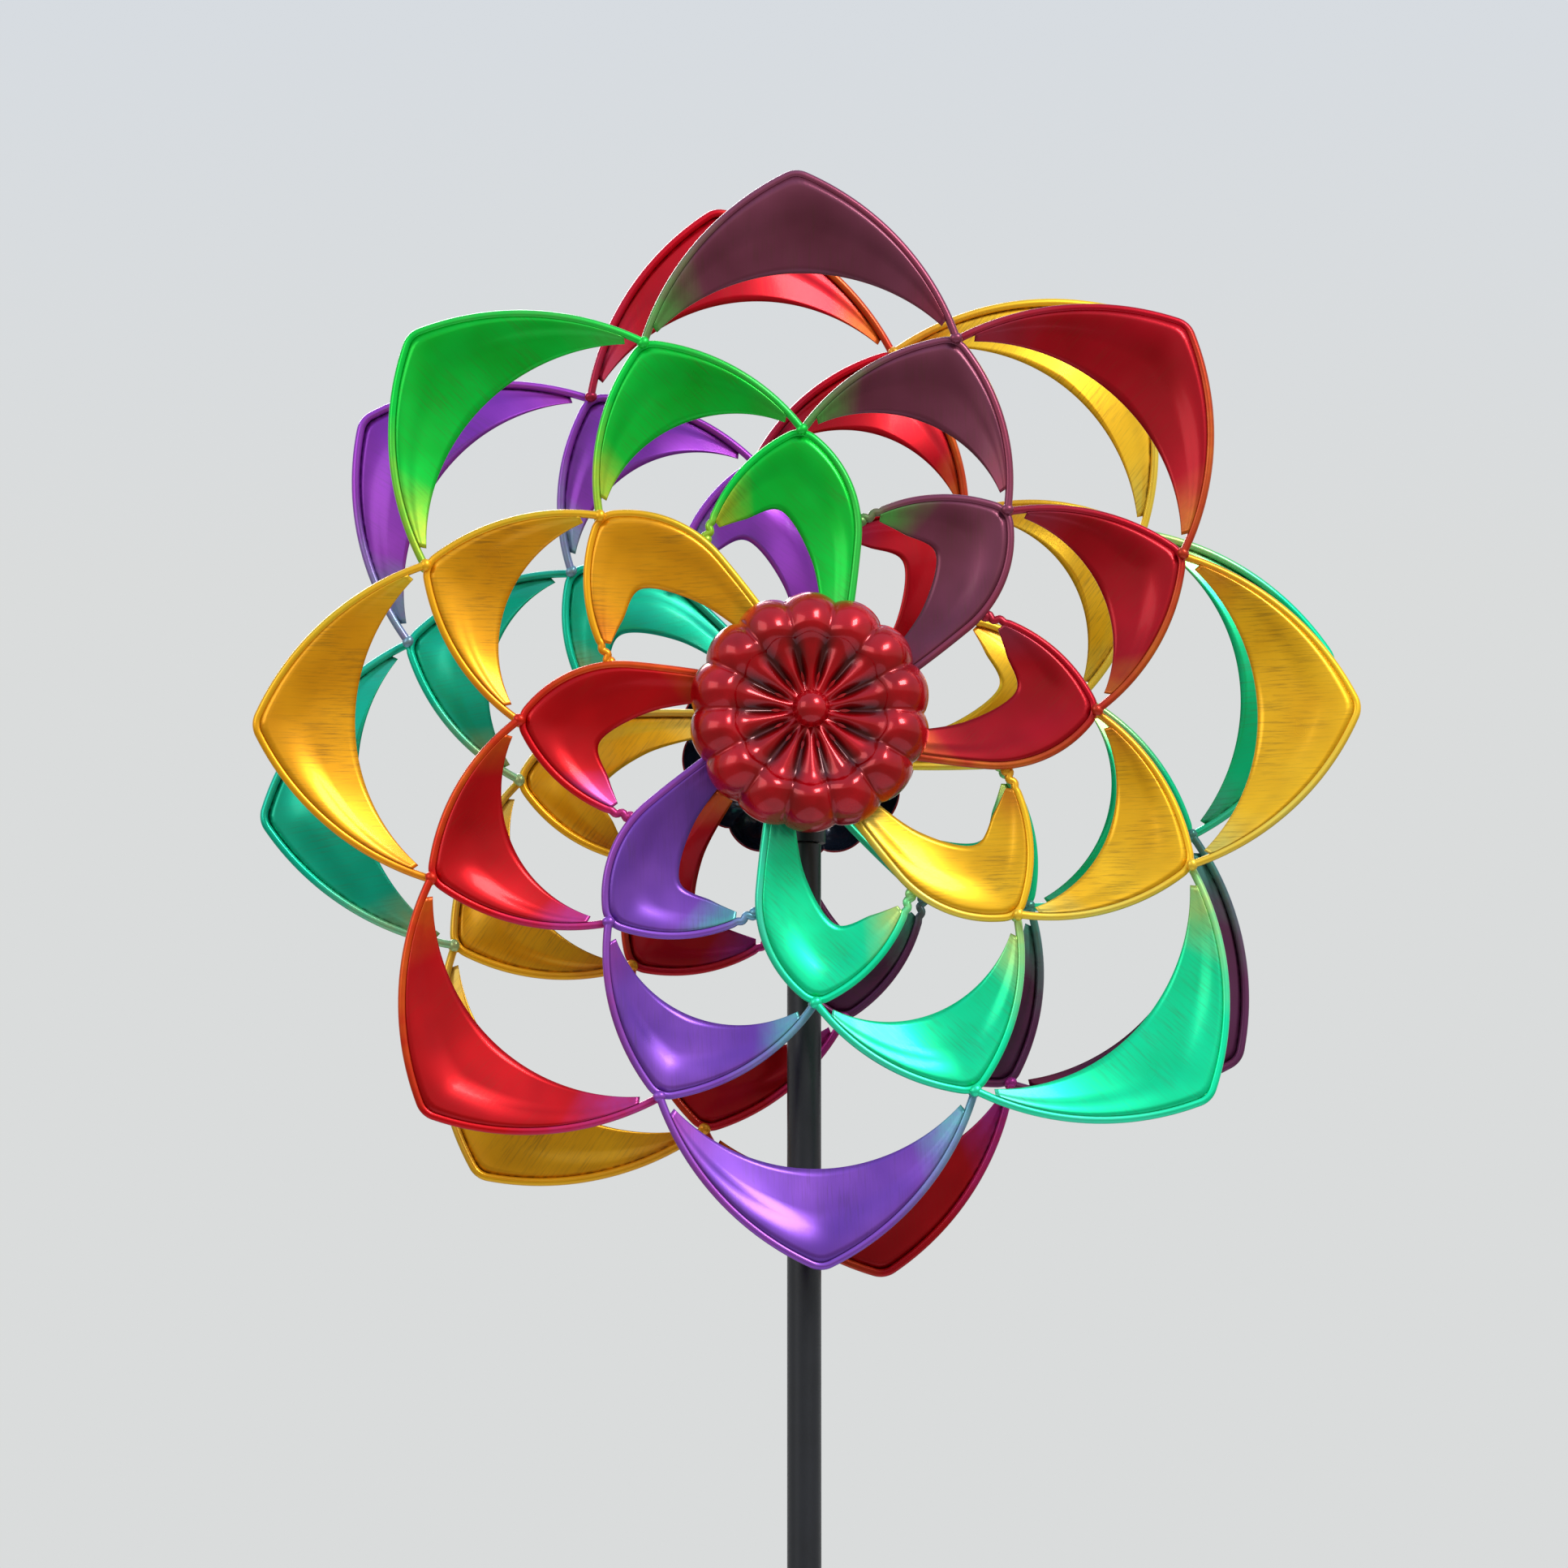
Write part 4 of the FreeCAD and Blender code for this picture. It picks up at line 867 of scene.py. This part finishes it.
# %% Fluted flower tree
flower_tree, given, FLOWER_KEYS = shape_tree(
    "fluted_flower", Around="NodeSocketInt", Rows="NodeSocketInt", Lobes="NodeSocketFloat",
    Rib="NodeSocketFloat", Lobe="NodeSocketFloat", Pinch="NodeSocketFloat", Sink="NodeSocketFloat",
    Start="NodeSocketFloat", Full="NodeSocketFloat", Side="NodeSocketFloat", Pivot="NodeSocketVector",
    Finish="NodeSocketMaterial",
)
grid = add(flower_tree, "GeometryNodeMeshGrid",
           {"Size X": 1.0, "Size Y": 1.0,
            "Vertices X": given.outputs["Rows"], "Vertices Y": given.outputs["Around"]})
shares = add(flower_tree, "ShaderNodeSeparateXYZ", {0: grid.outputs["UV Map"]})
rows_less_one = maths(flower_tree, "SUBTRACT", given.outputs["Rows"], 1.0)
row_number = maths(flower_tree, "ROUND", maths(flower_tree, "MULTIPLY", shares.outputs[0], rows_less_one))
place = add(flower_tree, "GeometryNodeInputPosition").outputs[0]
sampled = add(flower_tree, "GeometryNodeSampleIndex",
              {"Geometry": given.outputs["Shape"], "Value": place, "Index": row_number},
              data_type="FLOAT_VECTOR", domain="POINT")
section_xyz = add(flower_tree, "ShaderNodeSeparateXYZ", {0: sampled.outputs[0]})
radius, out = section_xyz.outputs[0], section_xyz.outputs[2]
angle = maths(flower_tree, "MULTIPLY", shares.outputs[1], 2 * math.pi)
wave = maths(flower_tree, "ABSOLUTE", maths(flower_tree, "COSINE", maths(
    flower_tree, "MULTIPLY", angle, maths(flower_tree, "DIVIDE", given.outputs["Lobes"], 2.0))))
RIBS_END, LOBES_BEGIN = 25 * MM, 60 * MM
# Painted shade in the creases of the enamel: full inside the first radius, down to 0.3 of it beyond the
# second.
FULL_SHADE_END, LIGHT_SHADE_BEGINS = 34 * MM, 50 * MM
SEAL = 0.002 * MM
rib, lobe = given.outputs["Rib"], given.outputs["Lobe"]
roundness = value_range(flower_tree, radius, RIBS_END, LOBES_BEGIN, rib, lobe)
inward_shade = value_range(flower_tree, radius, FULL_SHADE_END, LIGHT_SHADE_BEGINS, 1.0, 0.3)
crease = maths(flower_tree, "SUBTRACT", 1.0, maths(flower_tree, "POWER", wave, roundness))
reach = value_range(flower_tree, radius, given.outputs["Start"], given.outputs["Full"])
sunk = maths(flower_tree, "MULTIPLY", crease, reach)
pinched = maths(flower_tree, "SUBTRACT", 1.0, maths(flower_tree, "MULTIPLY", sunk, given.outputs["Pinch"]))
radius = maths(flower_tree, "MULTIPLY", radius, pinched)
out = maths(flower_tree, "SUBTRACT", out, maths(flower_tree, "MULTIPLY", sunk, given.outputs["Sink"]))
spun = add(flower_tree, "ShaderNodeCombineXYZ", {
    "X": maths(flower_tree, "MULTIPLY", radius, maths(flower_tree, "SINE", angle)),
    "Y": maths(flower_tree, "MULTIPLY", out, given.outputs["Side"]),
    "Z": maths(flower_tree, "MULTIPLY", radius, maths(flower_tree, "COSINE", angle)),
})
centred = vector_maths(flower_tree, "ADD", spun.outputs[0], given.outputs["Pivot"])
shell = add(flower_tree, "GeometryNodeSetPosition",
            {"Geometry": grid.outputs[0], "Position": centred}).outputs[0]
within = add(flower_tree, "GeometryNodeSampleIndex",
             {"Geometry": given.outputs["Shape"],
              "Value": add(flower_tree, "GeometryNodeInputNamedAttribute", {"Name": "inside"},
                           data_type="FLOAT").outputs[0],
              "Index": row_number}, data_type="FLOAT", domain="POINT")
# The crease value is the painted shade that the enamel darkens by.
for name, value in (("inside", within.outputs[0]), ("crease", maths(flower_tree, "MULTIPLY", sunk, inward_shade))):
    shell = store(flower_tree, shell, name, value)
sealed = add(flower_tree, "GeometryNodeMergeByDistance", {"Geometry": shell, "Distance": SEAL})
finish_tree(flower_tree, sealed.outputs[0], given.outputs["Finish"])
print("flower tree has", len(flower_tree.nodes), "nodes")

# %% [markdown]
# The section of the cap runs up from its rim, over the crest, down to the web and along the collar that grips
# the hub, then back underneath. Where it runs underneath, it is flagged as inside, for its dark enamel.

# %% Caps, rosettes and knobs
LOBES = 14
CAP_SHEET = 1.2


def through(a, b, c, count):
    """Points, in millimetres, along the arc from a through b to c."""
    a, b, c = Vector(a), Vector(b), Vector(c)
    centre = circle_through(a, b, c)
    return swing(centre, a, b, count)[:-1] + swing(centre, b, c, count)


def flower(name, side, outline, inside, **flutes):
    """Spin a closed section into a fluted flower."""
    points = [Vector((radius, 0.0, out)) * MM for radius, out in outline]
    obj = line_object(name, [(points + points[:1], False)])
    point_attribute(obj, "inside", inside + inside[:1])
    grow(obj, flower_tree, FLOWER_KEYS, Rows=len(points) + 1, Side=float(side), Pivot=HUB, Finish=RED_ENAMEL,
         Lobes=float(LOBES), **flutes)
    return settle(obj)


def cap_section():
    """Outer skin from rim to stem hole, then the collar and the inner skin; both as (radius, out) in mm."""
    outer = through((67, 64), (62.3, 76.7), (49, 84.5), 9)
    outer += through((49, 84.5), (44.7, 83.4), (41.4, 80.2), 6)[1:]
    outer += [(40.4, 75.5), (40, 71.2)]
    outer += [(32, 71.2), (24, 71.2), (3.05, 71.2)]
    inner = [(3.05, 70), (17.05, 70), (17.05, 58), (19, 58), (19, 70), (24, 70), (32, 70)]
    inner += through((41.2, 70), (42.6, 80.3), (49, 83.3), 7)
    inner += through((49, 83.3), (61.3, 76), (65.8, 64), 9)[1:]
    return [tuple(point) for point in outer + inner], [0.0] * len(outer) + [1.0] * len(inner)


def rosette_section():
    """A shallow bowl with a thin wall."""
    top = through((42.9, 82.0), (40.4, 80.1), (36, 78.3), 6)
    top += through((36, 78.3), (24, 75.9), (9, 72.45), 9)[1:]
    top.append(Vector((3.05, 72.45)))
    under = [(point[0], point[1] - CAP_SHEET) for point in reversed(top)]
    return [tuple(point) for point in top] + under, [0.0] * len(top) + [1.0] * len(under)


def knob_section():
    """A ball with a flat foot, and its stem."""
    ball = through((0.0, 89.5), (10.5, 79.0), (8.25, 72.5), 16)
    stem = [(3.0, 72.5), (3.0, 67.0), (0.0, 67.0)]
    return [tuple(point) for point in ball] + stem


for side_name, side, *_ in SIDES:
    body = f"{side_name}_wheel"
    outline, inside = cap_section()
    cap = flower(f"{side_name}_fluted_cap", side, outline, inside, Around=LOBES * 16 + 1,
                 Rib=1.6, Lobe=0.75, Pinch=0.055, Sink=4.6 * MM, Start=38 * MM, Full=41 * MM)
    dress(cap, body, "red_enamel", f"{side_name}_flower_cap")
    outline, inside = rosette_section()
    rosette = flower(f"{side_name}_fluted_rosette", side, outline, inside, Around=LOBES * 12 + 1,
                     Rib=1.6, Lobe=0.75, Pinch=0.055, Sink=4.6 * MM, Start=9 * MM, Full=20 * MM)
    dress(rosette, body, "red_enamel", f"{side_name}_rosette")
    outline = knob_section()
    knob = flower(f"{side_name}_ball_knob", side, outline, [0.0] * len(outline), Around=65,
                  Rib=1.0, Lobe=1.0, Pinch=0.0, Sink=0.0, Start=1.0, Full=2.0)
    dress(knob, body, "red_enamel", f"{side_name}_cap_knob")
print("cap:", triangles(cap), "triangles; rosette:", triangles(rosette))

# %% [markdown]
# ## Studio
#
# A pale floor lies under the tips of the stake, so the whole object shows. A large soft light stands high on
# the right, a weaker one on the left, and one behind lights the rims. The sky is pale and dims below the
# horizon, which gives the lacquered metal something darker to reflect when a petal leans down.

# %% Floor, lights and sky
floor_low, floor_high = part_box("ground_spike")
floor_mesh = bpy.data.meshes.new("studio_floor")
FLOOR_RADIUS, FLOOR_SIDES = 1.8, 128
FLOOR_Z = floor_low.z - 1 * MM
rim_points = [polar(FLOOR_RADIUS, -2 * math.pi * i / FLOOR_SIDES).to_3d() for i in range(FLOOR_SIDES)]
floor_points = [point + Vector((0, 0, FLOOR_Z)) for point in rim_points]
floor_mesh.from_pydata(floor_points, [], [tuple(range(FLOOR_SIDES))])
floor = bpy.data.objects.new("studio_floor", floor_mesh)
bpy.context.scene.collection.objects.link(floor)
FLOOR_PAINT = metal("studio_floor_paint", "#cfcfcc", "#d6d6d4", 0.0, 0.8, 0.9, 30 * MM, 0.05 * MM)
floor_mesh.materials.append(FLOOR_PAINT)


def soft_light(name, place, width, power):
    """A square softbox that faces the wheels."""
    light = bpy.data.lights.new(name, "AREA")
    light.size = width
    light.energy = power
    obj = bpy.data.objects.new(name, light)
    bpy.context.scene.collection.objects.link(obj)
    obj.location = place
    obj.rotation_euler = (HUB - Vector(place)).to_track_quat("-Z", "Y").to_euler()


soft_light("key_softbox", (1.6, -2.2, 3.8), 1.2, 84)
soft_light("fill_softbox", (-2.4, -1.8, 2.6), 1.6, 16)
soft_light("rim_softbox", (-0.6, 2.4, 3.2), 1.4, 50)

world = bpy.data.worlds.new("studio_sky")
bpy.context.scene.world = world
world.use_nodes = True
sky = world.node_tree
direction = add(sky, "ShaderNodeTexCoord").outputs["Generated"]
height = add(sky, "ShaderNodeSeparateXYZ", {0: direction}).outputs[2]
low_sky = blend_colour(sky, value_range(sky, height, -0.12, 0.04), linear("#94918b"), linear("#dcdede"))
high_sky = blend_colour(sky, value_range(sky, height, 0.15, 0.6), low_sky, linear("#c4dcff"))
background = sky.nodes["Background"]
sky.links.new(high_sky, background.inputs["Color"])
background.inputs["Strength"].default_value = 0.98
print("floor at", round(FLOOR_Z, 3), "m")

# %% [markdown]
# ## Camera
#
# The camera stands five metres away, a little to the left and below the hub, with a long lens, so the front
# wheel hides most of the rear one.

# %% Camera
AZIMUTH, ELEVATION, DISTANCE = math.radians(-2.85), math.radians(-7.69), 5.0
LENS, SENSOR = 205.5, 36.0
AIM_LEFT, AIM_BELOW = 11.2 * MM, 31.5 * MM
towards_camera = Vector((
    math.sin(AZIMUTH) * math.cos(ELEVATION), -math.cos(AZIMUTH) * math.cos(ELEVATION), math.sin(ELEVATION)))
right = (-towards_camera).cross(Vector((0.0, 0.0, 1.0))).normalized()
up = right.cross(-towards_camera)
target = HUB - right * AIM_LEFT - up * AIM_BELOW
camera_data = bpy.data.cameras.new("studio_camera")
camera_data.lens, camera_data.sensor_width = LENS, SENSOR
camera_data.clip_end = 50
camera = bpy.data.objects.new("studio_camera", camera_data)
bpy.context.scene.collection.objects.link(camera)
camera.location = HUB + towards_camera * DISTANCE
camera.rotation_euler = (target - camera.location).to_track_quat("-Z", "Y").to_euler()
bpy.context.scene.camera = camera
print("camera at", [round(c, 2) for c in camera.location])

# %% [markdown]
# ## View transform
#
# The colours are shown through the Standard view transform.

# %% View transform


bpy.context.scene.view_settings.view_transform = "Standard"
